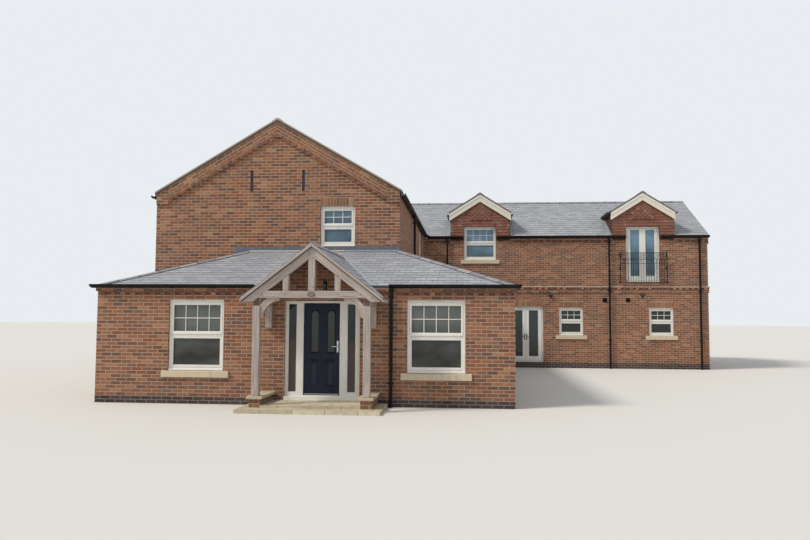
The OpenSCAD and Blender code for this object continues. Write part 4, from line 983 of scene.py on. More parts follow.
def ridgeTiles(bm, start, end, slopes, cuts=()):
    # slopes are the fall of the roof to the left and right of the line, for a run of 1
    start, end = Vector(start), Vector(end)
    line = end - start
    along = line.normalized()
    side = Vector((line.x, line.y, 0)).normalized().cross(Vector((0, 0, 1)))
    r = ridge
    left, right = slopes
    count = max(1, round(line.length / r.length))
    step = line.length / count
    part = toned()
    for i in range(count):
        top = r.top + rng.uniform(-0.001, 0.001)
        outline = [(-r.half, top - left * r.half), (-r.crown, top - left * r.crown * 0.6),
                   (r.crown, top - right * r.crown * 0.6), (r.half, top - right * r.half),
                   (r.half, top - right * r.half - r.thick), (0, top - r.thick),
                   (-r.half, top - left * r.half - r.thick)]
        sweep(part, outline, axesTurn(side, along, (0, 0, 1), start + along * step * i),
              step - r.gap, 0.003, tone=rng.random())
    # dark beds: joints between the tiles, and from the wider bed a painted shadow along the lower
    # edges
    for share, lower in r.beds:
        sweep(part, [(x * share, z - lower) for x, z in outline],
              axesTurn(side, along, (0, 0, 1), start + along * 0.004), line.length - 0.03, mat=1)
    cutAway(part, cuts, 20)
    merge(bm, part)


# where the small ridges meet the slopes behind them
valleyX = ridgeX + (h.mainRidge - h.wingRidge) / mainSlope
dormerMeets = h.wingY + (h.dormerRidge - h.wingEave) / wingSlope
porchMeets = (h.porchRidge - h.extEave) / frontRise
bm = toned()
ridgeTiles(bm, (ridgeX, h.extD - h.gable, h.mainRidge), (ridgeX, h.rearY + h.gable, h.mainRidge),
           (mainSlope, mainSlope))
ridgeTiles(bm, (h.wingEnd + 0.058, ridgeY, h.wingRidge), (valleyX, ridgeY, h.wingRidge),
           (wingSlope, wingSlope))
for x in h.dormers:
    ridgeTiles(bm, (x, dormerFront, h.dormerRidge), (x, dormerMeets, h.dormerRidge),
               (h.dormerRise, h.dormerRise))
ridgeTiles(bm, (h.porchX, porchFront, h.porchRidge), (h.porchX, porchMeets, h.porchRidge),
           (h.porchRise, h.porchRise))
edges = [past("y", -0.03, -1), past("x", -0.03, -1), past("x", h.extW + 0.03),
         past("y", h.extD - 0.006)]
for footX, headX, sideRise in ((0.0, h.hipX, leftRise), (h.extW, h.span, -rightRise)):
    run = Vector((headX - footX, h.extD, 0))
    side = run.normalized().cross(Vector((0, 0, 1)))
    # the fall from the hip line over each of the two planes, measured square to the line
    slopes = [-(frontRise * move.y if move.y < 0 else sideRise * move.x)
              for move in (-side, side)]
    back = Vector((run.x, run.y, extRise)) * (0.05 / run.length)
    ridgeTiles(bm, Vector((footX, 0, h.extEave)) - back, (headX, h.extD, h.extHead), slopes,
               edges)
tileRidge = piece("ridge_tiles_bedded", bm, "ridgeTile pointing")
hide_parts("ridge_and_hip_tiles")
print("ridges laid")

# lead in the valleys and beside the dormers, and the fillet over the lean-to
lead = Sizes(wide=0.055, thick=0.004, lift=0.021, soaker=0.09)


def valley(bm, low, high, sides):
    for side in sides:
        plate(bm, low, high, side, lead.wide, lead.thick, lead.lift)


bm = bmesh.new()
for sign in (-1, 1):
    valley(bm, (h.porchX + sign * (h.porchRidge - h.extEave + frontRise * 0.03) / h.porchRise,
                -0.03, h.extEave - frontRise * 0.03), (h.porchX, porchMeets, h.porchRidge),
           ((sign, 0, 0), (-sign * 0.3, -1, 0)))
    for x in h.dormers:
        z = h.dormerRidge - h.dormerRise * h.dormerRoofHalf
        y = h.wingY + (z - h.wingEave) / wingSlope
        valley(bm, (x + sign * h.dormerRoofHalf, y, z), (x, dormerMeets, h.dormerRidge),
               ((sign, 0, 0), (-sign * 0.5, -1, 0)))
        # soakers between a cheek and the slates
        edge = x + sign * (h.dormerHalf + 0.012)
        plate(bm, (edge, h.wingY - 0.02, h.wingEave - 0.011), (edge, y, z), (sign, 0, 0),
              lead.soaker, lead.thick, lead.lift)
low = h.mainEave - mainSlope * 0.03
deep = ridgeY - h.wingY - (low - h.wingEave) / wingSlope
for sign in (-1, 1):
    valley(bm, (h.span + 0.03, ridgeY + sign * deep, low), (valleyX, ridgeY, h.wingRidge),
           ((1, 0, 0), (0, sign, 0)))
y = h.extD - 0.03
z = h.extEave + frontRise * y
for x0, x1, mat in ((h.hipX + 0.05, h.porchX, 1), (h.porchX + 0.01, h.span - 0.02, 0)):
    plate(bm, (x0, y, z), (x1, y, z), (0, -1, 0), 0.03, 0.03, lead.lift, mat=mat)
piece("lead_valleys", bm, "leadBright fillet")
print("leadwork laid")

# gutter unions and brackets, and the collars and outlets of the downpipes
rain = Sizes(wide=0.105, high=0.08, union=0.0035, bracket=0.006, every=0.9, extZ=2.405,
             wingZ=4.695, mainZ=4.765, collar=0.042, drop=1.75)


def gutterBand(over):
    # the rounded front and flat foot of a gutter, as a thin band round its outside
    half, high = rain.wide / 2, rain.high
    line = []
    for more in (over, 0.0005):
        points = [(-0.004, -more)]
        for i in range(7):
            a = math.pi * (0.5 + i / 12)
            points.append((-half + (half + more) * math.cos(a), high - (high + more) * math.sin(a)))
        line += points if more == over else points[::-1]
    return line


bm = bmesh.new()
for start, end, z, inward, count in (
        ((0.3, -0.03), (3.2, -0.03), rain.extZ, (0, 1, 0), 2),
        ((6.5, -0.03), (8.7, -0.03), rain.extZ, (0, 1, 0), 2),
        ((8.81, 0.5), (8.81, 11.5), rain.extZ, (-1, 0, 0), 5),
        ((6.5, 11.80), (7.5, 11.80), rain.wingZ, (0, 1, 0), 1),
        ((9.0, 11.80), (13.3, 11.80), rain.wingZ, (0, 1, 0), 3),
        ((14.9, 11.80), (16.3, 11.80), rain.wingZ, (0, 1, 0), 1),
        ((6.20, 3.0), (6.20, 11.6), rain.mainZ, (-1, 0, 0), 4)):
    start, end = Vector((*start, z)), Vector((*end, z))
    long = (end - start).length
    along = (end - start).normalized()
    for i in range(count):
        at = start + (end - start) * (i + 0.5) / count - along * 0.03
        sweep(bm, gutterBand(rain.union), axesTurn(inward, along, (0, 0, 1), at), 0.06)
    for i in range(int(long / rain.every) + 1):
        reach = rain.every * (i + 0.5)
        if reach <= long:
            at = start + along * reach
            sweep(bm, gutterBand(rain.bracket), axesTurn(inward, along, (0, 0, 1), at), 0.022)
for (x, y), low, high, (inX, inY) in (
        ((6.282, -0.0825), 0.0, rain.extZ, (0, 1)), ((7.046, 11.7475), 3.15, rain.wingZ, (0, 1)),
        ((12.88, 11.7475), 0.0, rain.wingZ, (0, 1)), ((16.04, 11.7475), 0.0, rain.wingZ, (0, 1)),
        ((6.60, 18.0825), 0.0, rain.wingZ, (0, -1)), ((16.04, 18.0825), 0.0, rain.wingZ, (0, -1)),
        ((-0.0825, 3.145), 0.0, rain.mainZ, (1, 0)), ((-0.0825, 17.6), 0.0, rain.mainZ, (1, 0)),
        ((6.2525, 6.4), 3.48, rain.mainZ, (-1, 0))):
    z = high - 0.14
    across, inward = Vector((abs(inY), abs(inX), 0)), Vector((inX, inY, 0))
    wide = Vector((0.062 * across.x + 0.005 * across.y, 0.062 * across.y + 0.005 * across.x,
                   0.013))
    while z > low + 0.15:
        rod(bm, (x, y, z - 0.055), (x, y, z), rain.collar, 24)
        rod(bm, (x, y, z - 0.062), (x, y, z - 0.052), rain.collar + 0.003, 24)
        # ears and spacers back to the wall
        middle = Vector((x, y, z - 0.03))
        for sign in (-1, 1):
            ear = middle + across * sign * 0.047
            rod(bm, ear, ear + inward * 0.0815, 0.008, 8)
        block(bm, middle - wide, middle + wide, 0.002)
        z -= rain.drop
    rod(bm, (x, y, high - 0.075), (x, y, high + 0.004), 0.046, 24)
    if low == 0.0:
        rod(bm, (x, y, 0.0), (x, y, 0.05), rain.collar, 24)
piece("rainwater_fittings", bm, "black")
print("gutters fitted")

# stone sills with a weathered top, a drip and a level stool at each end
stone = Sizes(side=0.125, out=0.045, back=0.125, high=0.14, fall=0.016, drip=0.008)
w = stone
sillLine = [(w.back, -w.high), (-w.out + 0.026, -w.high), (-w.out + 0.026, -w.high + w.drip),
            (-w.out + 0.014, -w.high + w.drip), (-w.out + 0.014, -w.high), (-w.out, -w.high),
            (-w.out, -w.fall), (0.05, 0.0), (w.back, 0.0)]
bm = bmesh.new()
for wall, at, foot, kind in windows:
    if wall in ("mainFront", "mainRight"):
        continue
    width = sash[kind][0]
    part = bmesh.new()
    sweep(part, sillLine, moveTo(at - w.side, 0, foot) @ swapXY, width + 2 * w.side, 0.003)
    for x in (at - w.side + 0.001, at + width + 0.002):
        block(part, (x, -w.out + 0.002, foot - w.fall - 0.01),
              (x + w.side - 0.003, -0.001, foot - 0.001), 0.004)
    merge(bm, part, wallTurn(wall))
sills = piece("weathered_sills", bm, "stone", mirrored=True)
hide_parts("stone_sills")

# single bricks: soldier heads, dentils, raking courses, and their mortar
unit = Sizes(long=0.215, wide=0.1025, high=0.065, joint=0.0105, ease=0.003, soldier=0.0755,
             tall=0.205, eaves=2.262, string=2.832, wingEaves=4.555)


def soldiers(bm, wall, at, width, z):
    # bricks on end over an opening, a hair proud of the wall
    part = toned()
    pitch = width / round(width / unit.soldier)
    for i in range(round(width / unit.soldier)):
        x = at + pitch * i
        proud = rng.uniform(0.003, 0.006)
        block(part, (x + unit.joint / 2, -proud, z + 0.008),
              (x + pitch - unit.joint / 2, 0.02, z + unit.tall), unit.ease, tone=rng.random())
    block(part, (at, -0.0012, z + 0.001), (at + width, 0.01, z + unit.tall + 0.008), mat=1,
          tone=0.0)
    merge(bm, part, wallTurn(wall))


def dentils(bm, wall, start, end, z, out, face=0.0, skip=(0, 0), highlightTone=0.0):
    # headers that stand out every other header width
    part = toned()
    count = int((end - start) / unit.long)
    pitch = (end - start) / count
    for i in range(count):
        x = start + pitch * (i + 0.25)
        if skip[0] < x < skip[1]:
            continue
        # headers are paler where the lowest tone is raised: a painted highlight on their lit faces
        block(part, (x, face - out, z), (x + unit.wide, face + 0.01, z + unit.high), unit.ease,
              tone=highlightTone + (1 - highlightTone) * rng.random())
        # a dark brick flush in each gap between headers: painted shade in the recess
        block(part, (x + unit.wide, face - 0.002, z + 0.002),
              (min(x + pitch, end), face + 0.01, z + unit.high - 0.002), mat=2, tone=0.0)
    merge(bm, part, wallTurn(wall))


def rakingBand(bm, wall, middle, apex, rise, out=0.022):
    # bricks that follow a gable's slope over a row of dentils, both sides of the apex
    half, face, apex = ridgeX, -0.04, apex - 0.068
    part = toned()
    length = half * math.hypot(1, rise)
    course = unit.high + unit.joint
    for sign in (-1, 1):
        side = toned()
        turn = axesTurn(Vector((sign, 0, -rise)).normalized(), (0, 1, 0),
                        Vector((-sign * rise, 0, -1)).normalized(), (middle, face, apex))
        block(side, (0.0, -0.0012, 0.0), (length, 0.004, course * 4), turn=turn, mat=1, tone=0.0)
        for row in range(4):
            header = row == 3
            long = unit.wide if header else unit.long
            at = -0.115 if row % 2 else 0.0
            top = 0.012 + row * course
            count = 0
            while at < length:
                proud = rng.uniform(0.003, 0.006)
                if header and count % 2:
                    proud = out
                block(side, (at, -proud, top), (at + long, 0.006, top + unit.high), unit.ease,
                      turn=turn, tone=rng.random())
                at += long + (0.005 if header else unit.joint)
                count += 1
        cutAway(side, [past("x", middle, -sign), past("x", middle + sign * (half - 0.31), sign)])
        merge(part, side)
    merge(bm, part, wallTurn(wall))


bm = toned()
for wall, at, foot, kind in windows:
    width, height = sash[kind]
    # the other heads lie close under an eaves or in a dormer
    if wall == "wingRear" and foot > 3:
        continue
    if kind == "small" or wall in ("mainRear", "wingRear"):
        soldiers(bm, wall, at, width, foot + height)
soldiers(bm, "wingFront", 9.267, 1.25, 2.205)
piece("soldier_heads", bm, "singleBrick mortar")

bm = toned()
dentils(bm, "extFront", 0.02, 8.76, unit.eaves, 0.024, skip=(3.32, 6.24))
dentils(bm, "extRight", 0.05, 11.75, unit.eaves, 0.024)
dentils(bm, "mainLeft", 0.05, 2.7, unit.eaves, 0.024)
# the string course's headers are toned paler, a painted highlight
dentils(bm, "wingFront", 8.80, 16.34, unit.string, 0.022, -0.025, highlightTone=0.8)
dentils(bm, "wingEnd", 11.85, 17.98, unit.string, 0.022, -0.025, highlightTone=0.8)
for x0, x1 in ((6.21, 7.14), (9.34, 12.98), (15.17, 16.31)):
    dentils(bm, "wingFront", x0, x1, unit.wingEaves, 0.02)
dentils(bm, "wingRear", 6.3, 16.3, unit.wingEaves, 0.02)
# creasing over the string course
for low, high in (((8.79, 11.787, 2.912), (16.352, 11.81, 2.944)),
                  ((16.352, 11.787, 2.912), (16.377, 17.99, 2.944))):
    block(bm, low, high, 0.003, mat=1, tone=0.3)
piece("dentil_courses", bm, "singleBrick creasing darkBrick")

bm = toned()
for wall in ("mainFront", "mainRear"):
    rakingBand(bm, wall, ridgeX, h.mainRidge, mainSlope)
rakingBand(bm, "wingEnd", ridgeY, h.wingRidge, wingSlope, 0.018)
piece("raking_courses", bm, "singleBrick mortar", mirrored=True)
print("single bricks laid")

# verges: pale bedding over a dark strip of painted shadow, along every gable and dormer
verge = Sizes(top=0.017, pale=0.02, deep=0.063, thick=0.004)
v = verge


def slopeLine(half, apex, rise, z0, z1, first=0):
    # a strip under a roof slope between two depths below the apex
    return [(first, apex - z0), (half, apex - z0 - rise * half),
            (half, apex - z1 - rise * half), (first, apex - z1)]


def vergeStrips(bm, at, half, apex, rise, thick, low=-v.top, pale=v.pale, deep=v.deep, mat=0):
    for sign in (-1, 1):
        # the pale bedding, then below it the dark strip, painted shadow under the verge
        for z0, z1, look, more in ((low, pale, mat, 0.001), (pale, deep, 1, 0.0)):
            sweep(bm, mirrorX(slopeLine(half, apex, rise, z0, z1), sign),
                  at @ moveTo(0, -more), thick, mat=look)


bm = bmesh.new()
for at in (moveTo(ridgeX, h.extD - h.gable - v.thick),
           moveTo(ridgeX, h.rearY + h.gable + v.thick) @ flipY):
    vergeStrips(bm, at, ridgeX + 0.03, h.mainRidge, mainSlope, v.thick)
vergeStrips(bm, axesTurn((0, 1, 0), (-1, 0, 0), (0, 0, 1), (16.388, ridgeY, 0)), ridgeX + 0.03,
            h.wingRidge, wingSlope, 0.003)
for x in h.dormers:
    vergeStrips(bm, moveTo(x, dormerFront - v.thick), h.dormerRoofHalf, h.dormerRidge,
                h.dormerRise, v.thick, -0.014, 0.024, 0.052, 2)
piece("verge_bedding", bm, "bedding underCloak ridgeTile", mirrored=True)

# dormers: moulded edge, fascia, soffit and boxed feet of the bargeboards
trim = Sizes(board=0.2, cap=0.03, slab=0.115)
t = trim
apex = h.dormerRidge - t.slab
half = h.dormerRoofHalf
edge = half - 0.002
inner = h.dormerHalf - 0.03
fall = apex - t.board - h.dormerRise * (h.dormerHalf - 0.05)
capLine = slopeLine(edge, apex - 0.004, h.dormerRise, 0, t.cap)
fasciaLine = slopeLine(edge, h.dormerRidge, h.dormerRise, 0.054, t.slab + 0.006)
soffitLine = [(0.02, apex - t.board + 0.012), (inner, fall + 0.012), (inner, fall - 0.003),
              (0.02, apex - t.board - 0.003)]
low = apex - h.dormerRise * half
bm = bmesh.new()
for x in h.dormers:
    for sign in (-1, 1):
        for line, out, thick, bevel in ((capLine, -0.012, 0.014, 0.003),
                                        (fasciaLine, -0.008, 0.009, 0.002),
                                        (soffitLine, 0.002, 0.085, 0.002)):
            sweep(bm, mirrorX(line, sign), moveTo(x, dormerFront + out), thick, bevel)
        x0, x1 = sorted((x + sign * edge, x + sign * inner))
        block(bm, (x0, dormerFront + 0.001, low - t.board + 0.03),
              (x1, h.wingY - 0.045, low + 0.005), 0.004)
piece("bargeboard_trim", bm, "cream", mirrored=True)

scallop = Sizes(radius=0.0815, thick=0.012, face=11.758, gauge=0.083, foot=5.45, lean=0.13,
                rows=7, half=0.42)
c = scallop
bm = toned()
for x in h.dormers:
    for row in range(c.rows):
        z = c.foot + row * c.gauge
        reach = (h.dormerRidge - 0.37 - z) / h.dormerRise
        for column in range(-4, 5):
            at = (column + 0.5 * (row % 2)) * tiles.width
            if abs(at) + c.radius > min(reach, c.half):
                continue
            made = bmesh.ops.create_cone(
                bm, cap_ends=True, segments=14, radius1=c.radius, radius2=c.radius,
                depth=c.thick, matrix=moveTo(x + at, c.face, z) @ rotate(quarter - c.lean))
            shadeTails(bm, made["verts"], Vector((0, 0, 1)), -0.3, 0.1 + 0.9 * rng.random())
piece("scalloped_tiles", bm, "hungTile")
print("verges and dormers dressed")

# front door: mouldings on both faces, lever handles, weather bar and side lights
entry = Sizes(left=4.452, right=5.199, foot=0.216, front=0.075, back=0.125, step=0.34,
              light=(0.15, 0.306, 0.872, 1.65), panel=(0.109, 0.331, 0.165, 0.7),
              upper=(0.109, 0.331, 0.742, 0.848), camber=0.03,
              sideLights=((4.124, 4.304), (5.358, 5.538)), screens=((4.07, 4.435), (5.215, 5.585)))
e = entry


def bead(bm, outline, at, width, rise):
    # a moulding of ridge section round an outline in the X Z plane, standing out to -Y
    face = bm.faces.new([bm.verts.new(at @ Vector((x, 0, z))) for x, z in outline])
    face.normal_update()
    if face.normal.dot(at.to_3x3() @ Vector((0, -1, 0))) < 0:
        face.normal_flip()
    for depth in (rise, -rise):
        inset(bm, face, width / 2, depth)
    bmesh.ops.delete(bm, geom=[face], context="FACES")


def archOutline(box, segments, rise=None):
    # a box whose head is an arc: half round, or flatter where a rise is given
    left, right, low, high = box
    half = (right - left) / 2
    rise = half if rise is None else rise
    return [(left, low), (right, low)] + [
        (left + half + half * math.cos(math.pi * i / segments),
         high + rise * math.sin(math.pi * i / segments)) for i in range(segments + 1)]


bm = bmesh.new()
for face in (moveTo(e.left, e.front, e.foot), moveTo(e.left, e.back, e.foot) @ flipY):
    for i in range(2):
        at = face @ moveTo(e.step * i)
        left, right, low, high = e.light
        for by, width, rise in ((0.016, 0.02, 0.01), (0.001, 0.006, 0.003)):
            bead(bm, archOutline((left - by, right + by, low - by, high), 14), at, width, rise)
        bead(bm, archOutline(e.panel, 12, e.camber), at, 0.034, 0.014)
        # the bright lip under the panel's curved head, and the raised field
        bead(bm, archOutline(grow(e.panel, -0.03), 12, 0.02), at, 0.028, 0.008)
        left, right, low, high = e.panel
        block(bm, at @ Vector((left + 0.058, -0.004, low + 0.06)),
              at @ Vector((right - 0.058, 0.001, high - 0.06)), 0.003)
        bead(bm, archOutline(e.upper, 2, 0.001), at, 0.02, 0.005)
piece("front_door_mouldings", bm, "navyGloss", "front_door_leaf", mirrored=True)


def standOut(bm, face, out, x0, x1, y0, y1, z0, z1, bevel):
    # a block between two distances out from a face
    near, far = sorted((face + out * y0, face + out * y1))
    block(bm, (x0, near, z0), (x1, far, z1), bevel)


lever = Sizes(x=5.159, z=1.21, half=0.018, tall=0.12, out=0.046, reach=0.11)
x, z = lever.x, lever.z
bm = bmesh.new()
for face, out in ((e.front, -1), (e.back, 1)):
    standOut(bm, face, out, x - lever.half, x + lever.half, 0, 0.008, z - lever.tall,
             z + lever.tall, 0.005)
    standOut(bm, face, out, x - lever.reach, x + 0.011, lever.out, lever.out - 0.013,
             z - 0.0095, z + 0.0095, 0.0045)
    # rose and stem, the key's cylinder, and two screws
    for rise, far, radius, sides in ((0, 0.014, 0.0165, 20), (0, lever.out, 0.0075, 14),
                                     (-0.085, 0.011, 0.009, 16), (-0.108, 0.0095, 0.004, 8),
                                     (0.108, 0.0095, 0.004, 8)):
        rod(bm, (x, face, z + rise), (x, face + out * far, z + rise), radius, sides)
block(bm, (e.left + 0.012, e.front - 0.012, e.foot + 0.012),
      (e.right - 0.012, e.front + 0.001, e.foot + 0.03), 0.005)
levers = piece("door_levers", bm, "chrome", "front_door_leaf")
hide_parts("front_door_handle")

bm = bmesh.new()
for left, right in e.sideLights:
    light = (left, right, 0.27, 2.09)
    ring(bm, light, 0.011, 0.058, 0.0745, 0.004)
    ring(bm, grow(light, -0.01), 0.003, 0.066, 0.0745, mat=1)
# frame lines of the screen
for left, right in e.screens:
    ring(bm, (left + 0.014, right - 0.014, 0.232, 2.13), 0.006, 0.0515, 0.056, 0.002)
piece("side_light_beads", bm, "white rubber")
print("front door dressed")

# garden doors: beads, gaskets and lever handles on each leaf
garden = Sizes(front=11.885, back=11.935, light=(0.105, 0.449, 0.406, 2.079), lever=1.13,
               leaves=(("left", 9.335, 0.519, -0.095), ("right", 9.895, 0.035, 0.095)))
g = garden
for hand, left, at, reach in g.leaves:
    bm = bmesh.new()
    hardware = bmesh.new()
    x, z = left + at, g.lever
    for face, out in ((g.front, -1), (g.back, 1)):
        part = bmesh.new()
        ring(part, grow(g.light, 0.012), 0.014, -0.004, 0.001, 0.002)
        ring(part, g.light, 0.008, 0.001, 0.0125, 0.002)
        ring(part, grow(g.light, -0.008), 0.004, 0.008, 0.0125, mat=1)
        merge(bm, part, moveTo(left, face) @ Matrix.Diagonal((1, -out, 1, 1)))
        standOut(hardware, face, out, x - 0.014, x + 0.014, 0, 0.008, 1.0, 1.22, 0.005)
        rod(hardware, (x, face, z), (x, face + out * 0.04, z), 0.007, 12)
        x0, x1 = sorted((x, x + reach))
        standOut(hardware, face, out, x0 - 0.008, x1 + 0.008, 0.04, 0.029, z - 0.008, z + 0.008,
                 0.004)
    body = "french_" + hand + "_leaf"
    piece("garden_beads_" + hand, bm, "white rubber", body, mirrored=True)
    piece("garden_levers_" + hand, hardware, "bronze", body)

# upper garden doors: beads, the lines between the leaves, hinges and levers
juliet = Sizes(left=13.485, right=14.665, low=3.105, face=11.885, middle=14.075, lever=4.07,
               lights=((13.645, 13.97), (14.18, 14.505)),
               leaves=((13.555, 14.071), (14.079, 14.595)),
               hinges=(13.552, 14.598), hingeHeights=(3.36, 4.1, 4.85))
j = juliet
bm = bmesh.new()
for left, right in j.lights:
    light = (left, right, 3.32, 5.005)
    ring(bm, grow(light, 0.012), 0.014, j.face - 0.006, j.face + 0.001, 0.002)
    ring(bm, light, 0.009, j.face + 0.002, j.face + 0.019, 0.003)
    ring(bm, grow(light, -0.009), 0.004, j.face + 0.012, j.face + 0.019, mat=1)
for left, right in j.leaves:
    ring(bm, (left, right, 3.165, 5.045), 0.006, j.face - 0.0012, j.face + 0.001, mat=1)
block(bm, (j.middle - 0.014, j.face - 0.012, 3.17), (j.middle + 0.014, j.face + 0.001, 5.04),
      0.004)
block(bm, (j.left + 0.004, j.face - 0.03, j.low + 0.004),
      (j.right - 0.004, j.face + 0.001, j.low + 0.03), 0.006)
for x in j.hinges:
    for z in j.hingeHeights:
        rod(bm, (x, j.face - 0.011, z - 0.045), (x, j.face - 0.011, z + 0.045), 0.011, 12)
piece("upper_door_beads", bm, "white rubber")
bm = bmesh.new()
for sign in (-1, 1):
    x, z = j.middle + sign * 0.05, j.lever
    block(bm, (x - 0.013, j.face - 0.008, 3.95), (x + 0.013, j.face + 0.001, 4.15), 0.004)
    rod(bm, (x, j.face, z), (x, j.face - 0.036, z), 0.007, 12)
    x0, x1 = sorted((x, x + sign * 0.09))
    block(bm, (x0 - 0.007, j.face - 0.038, z - 0.007), (x1 + 0.007, j.face - 0.028, z + 0.007),
          0.003)
piece("upper_door_levers", bm, "chrome")
print("garden doors dressed")

# balcony: two rows of hoops, collars on the balusters, knobs and wall plates
balcony = Sizes(left=13.253, right=14.897, y=11.724, first=13.3528, pitch=0.0903, count=17,
                rows=((3.972, 0), (4.082, 0.5)), radius=0.043, wall=11.829,
                collars=((3.835, 0.008, 0.011), (3.3, 0.007, 0.011), (3.89, 0.011, 0.017)),
                rails=((3.081, 0.009, 0.06), (4.147, 0.009, 0.004)), plates=(3.101, 3.6, 4.069))
b = balcony
bm = bmesh.new()
for i in range(b.count):
    x = b.first + b.pitch * i
    for z, half, radius in b.collars:
        rod(bm, (x, b.y, z - half), (x, b.y, z + half), radius, 10)
    for z, back in b.rows:
        hoop(bm, (x - b.pitch * back, b.y - 0.004, z), b.radius, 0.0075, 0.008, 14)
for z, half, over in b.rails:
    block(bm, (b.left - over, b.y - 0.011, z - half), (b.right + over, b.y + 0.009, z + half),
          0.003)
for x in (b.left + 0.006, b.right - 0.006):
    block(bm, (x - 0.013, b.y - 0.012, 3.07), (x + 0.013, b.y + 0.012, 4.16), 0.003)
    # finials on the end posts, and screwed plates where the rails meet the brickwork
    bmesh.ops.create_uvsphere(bm, u_segments=12, v_segments=8, radius=0.019,
                              matrix=moveTo(x, b.y, 4.168))
    for z in b.plates:
        block(bm, (x - 0.02, b.wall - 0.007, z - 0.03), (x + 0.02, b.wall, z + 0.03), 0.003)
        for rise in (0.018, -0.018):
            rod(bm, (x, b.wall - 0.013, z + rise), (x, b.wall - 0.006, z + rise), 0.007, 6)
piece("balcony_scrolls", bm, "iron")

# wall lamps: two floodlights with sensors, and the lantern over the door
lamp = Sizes(places=(10.785, 14.043), wall=11.829, foot=2.575, top=2.675, tilt=-24)
bm = bmesh.new()
for x in lamp.places:
    block(bm, (x - 0.04, lamp.wall - 0.014, lamp.foot), (x + 0.04, lamp.wall, lamp.top), 0.006)
    rod(bm, (x, 11.82, 2.645), (x, 11.775, 2.645), 0.011, 14)
    turn = moveTo(x, 11.783, 2.63) @ rotate(math.radians(lamp.tilt))
    block(bm, (-0.088, -0.024, -0.034), (0.088, 0.016, 0.036), 0.009, turn=turn)
    part = bmesh.new()
    ring(part, (-0.084, 0.084, -0.03, 0.032), 0.009, -0.03, -0.022, 0.003)
    merge(bm, part, turn)
    block(bm, (-0.074, -0.0265, -0.021), (0.074, -0.023, 0.023), turn=turn, mat=1)
    rod(bm, (x, 11.8, 2.6), (x, 11.795, 2.565), 0.009, 12)
    bmesh.ops.create_uvsphere(bm, u_segments=14, v_segments=8, radius=0.021,
                              matrix=moveTo(x, 11.793, 2.558))
lantern = Sizes(x=4.902, y=-0.062, low=2.34, high=2.56)
x, y, low, high = lantern.x, lantern.y, lantern.low, lantern.high
block(bm, (x - 0.035, -0.011, low + 0.03), (x + 0.035, -0.001, high - 0.02), 0.004)
for half, z0, z1, bevel, mat in ((0.034, low + 0.02, low + 0.034, 0.003, 0),
                                 (0.038, high - 0.056, high - 0.042, 0.003, 0),
                                 (0.026, low + 0.034, high - 0.056, 0.0, 1)):
    block(bm, (x - half, y - half, z0), (x + half, y + half, z1), bevel, mat=mat)
bmesh.ops.create_cone(bm, cap_ends=True, segments=4, radius1=0.053, radius2=0.014, depth=0.034,
                      matrix=moveTo(x, y, high - 0.025) @ rotate(math.pi / 4, "Z"))
for dx in (-0.029, 0.029):
    for dy in (-0.029, 0.029):
        rod(bm, (x + dx, y + dy, low + 0.03), (x + dx, y + dy, high - 0.05), 0.005, 6)
rod(bm, (x, -0.01, high - 0.03), (x, y, high - 0.03), 0.007, 10)
rod(bm, (x, y, low + 0.004), (x, y, low + 0.021), 0.017, 14, mat=2)
lamps = piece("lamps_and_lantern", bm, "iron lens lampFoot")
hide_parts("wall_lights")

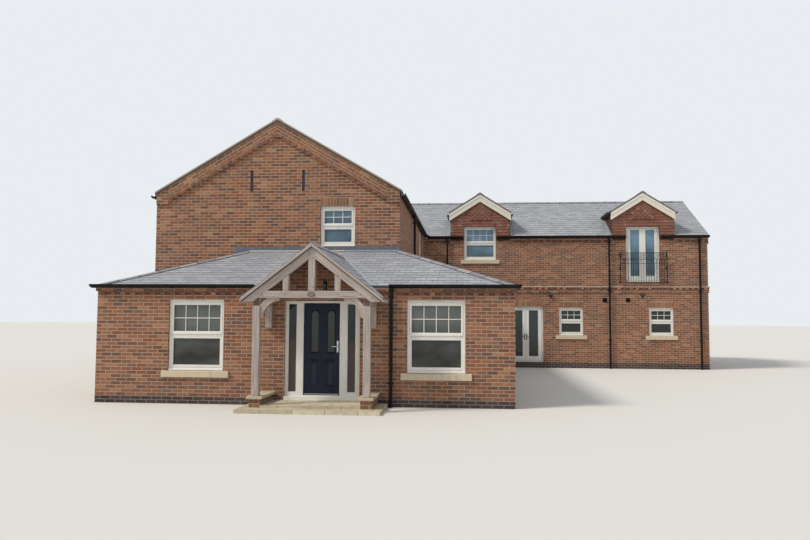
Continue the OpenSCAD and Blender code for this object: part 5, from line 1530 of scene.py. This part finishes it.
# louvred vents in the wing, and plates in the gable slits
vent = Sizes(places=((12.633, 12.792), (13.461, 13.601)), low=2.38, high=2.525, blades=5,
             pitch=0.0222, tilt=35)
bm = bmesh.new()
for left, right in vent.places:
    y, low, high = h.wingY, vent.low, vent.high
    ring(bm, (left, right, low, high), 0.014, y - 0.018, y - 0.0005, 0.004)
    block(bm, (left + 0.01, y - 0.004, low + 0.01), (right - 0.01, y - 0.0005, high - 0.01))
    half = (right - left) / 2 - 0.012
    for i in range(vent.blades):
        turn = moveTo((left + right) / 2, y - 0.01, low + 0.028 + i * vent.pitch) \
            @ rotate(math.radians(vent.tilt))
        block(bm, (-half, -0.009, -0.002), (half, 0.009, 0.002), turn=turn)
piece("wall_vents", bm, "iron")
slit = Sizes(places=((2.41, 2.485), (3.72, 3.795)), low=4.93, high=5.453, blades=6,
             first=4.965, pitch=0.085)
bm = bmesh.new()
for left, right in slit.places:
    y = h.extD + 0.035
    block(bm, (left + 0.004, y, slit.low), (right - 0.004, y + 0.01, slit.high), 0.002)
    for i in range(slit.blades):
        z = slit.first + i * slit.pitch
        block(bm, (left + 0.002, y - 0.008, z), (right - 0.002, y + 0.001, z + 0.02), 0.003)
piece("slit_louvres", bm, "slit")
print("small fittings placed")

# stage: pale floor, pale surroundings, soft sun from the front left
stage = Sizes(floor="#dedad2", seen="#e9edf1", light="#e4ebf4", strength=0.66, sun=2.35,
              sunTurn=(43, 0, -63), softness=14)
bm = bmesh.new()
bmesh.ops.create_circle(bm, cap_ends=True, segments=96, radius=160)
floor = bpy.data.objects.new("floor", toMesh("floor", bm))
floor.data.transform(moveTo(8, 8, -0.001))
bpy.context.scene.collection.objects.link(floor)
Finish("floorStage", stage.floor, 0.9, specular=0.1)
floor.data.materials.append(finish["floorStage"])

world = bpy.data.worlds.new("sky")
bpy.context.scene.world = world
world.use_nodes = True
sky = Nodes(world.node_tree)
sky.tree.nodes.clear()
output = sky.tree.nodes.new("ShaderNodeOutputWorld")
direct, glossy, through = (sky.node("LightPath", out="Is " + ray + " Ray")
                           for ray in ("Camera", "Glossy", "Transmission"))
light, seen = (sky.node("Background", sockets={0: colour, 1: strength})
               for colour, strength in ((stage.light, stage.strength), (stage.seen, 1.0)))
sky.fill(output, {0: sky.node("MixShader", sockets={
    0: sky.maths("MINIMUM", direct + glossy + through, 1.0), 1: light, 2: seen})})

sun = bpy.data.objects.new("sun", bpy.data.lights.new("sun", "SUN"))
sun.data.energy = stage.sun
sun.data.angle = math.radians(stage.softness)
sun.data.color = (1.0, 0.96, 0.9)
sun.rotation_euler = [math.radians(a) for a in stage.sunTurn]
bpy.context.scene.collection.objects.link(sun)
bpy.context.scene.view_settings.view_transform = "Standard"
print("stage set")
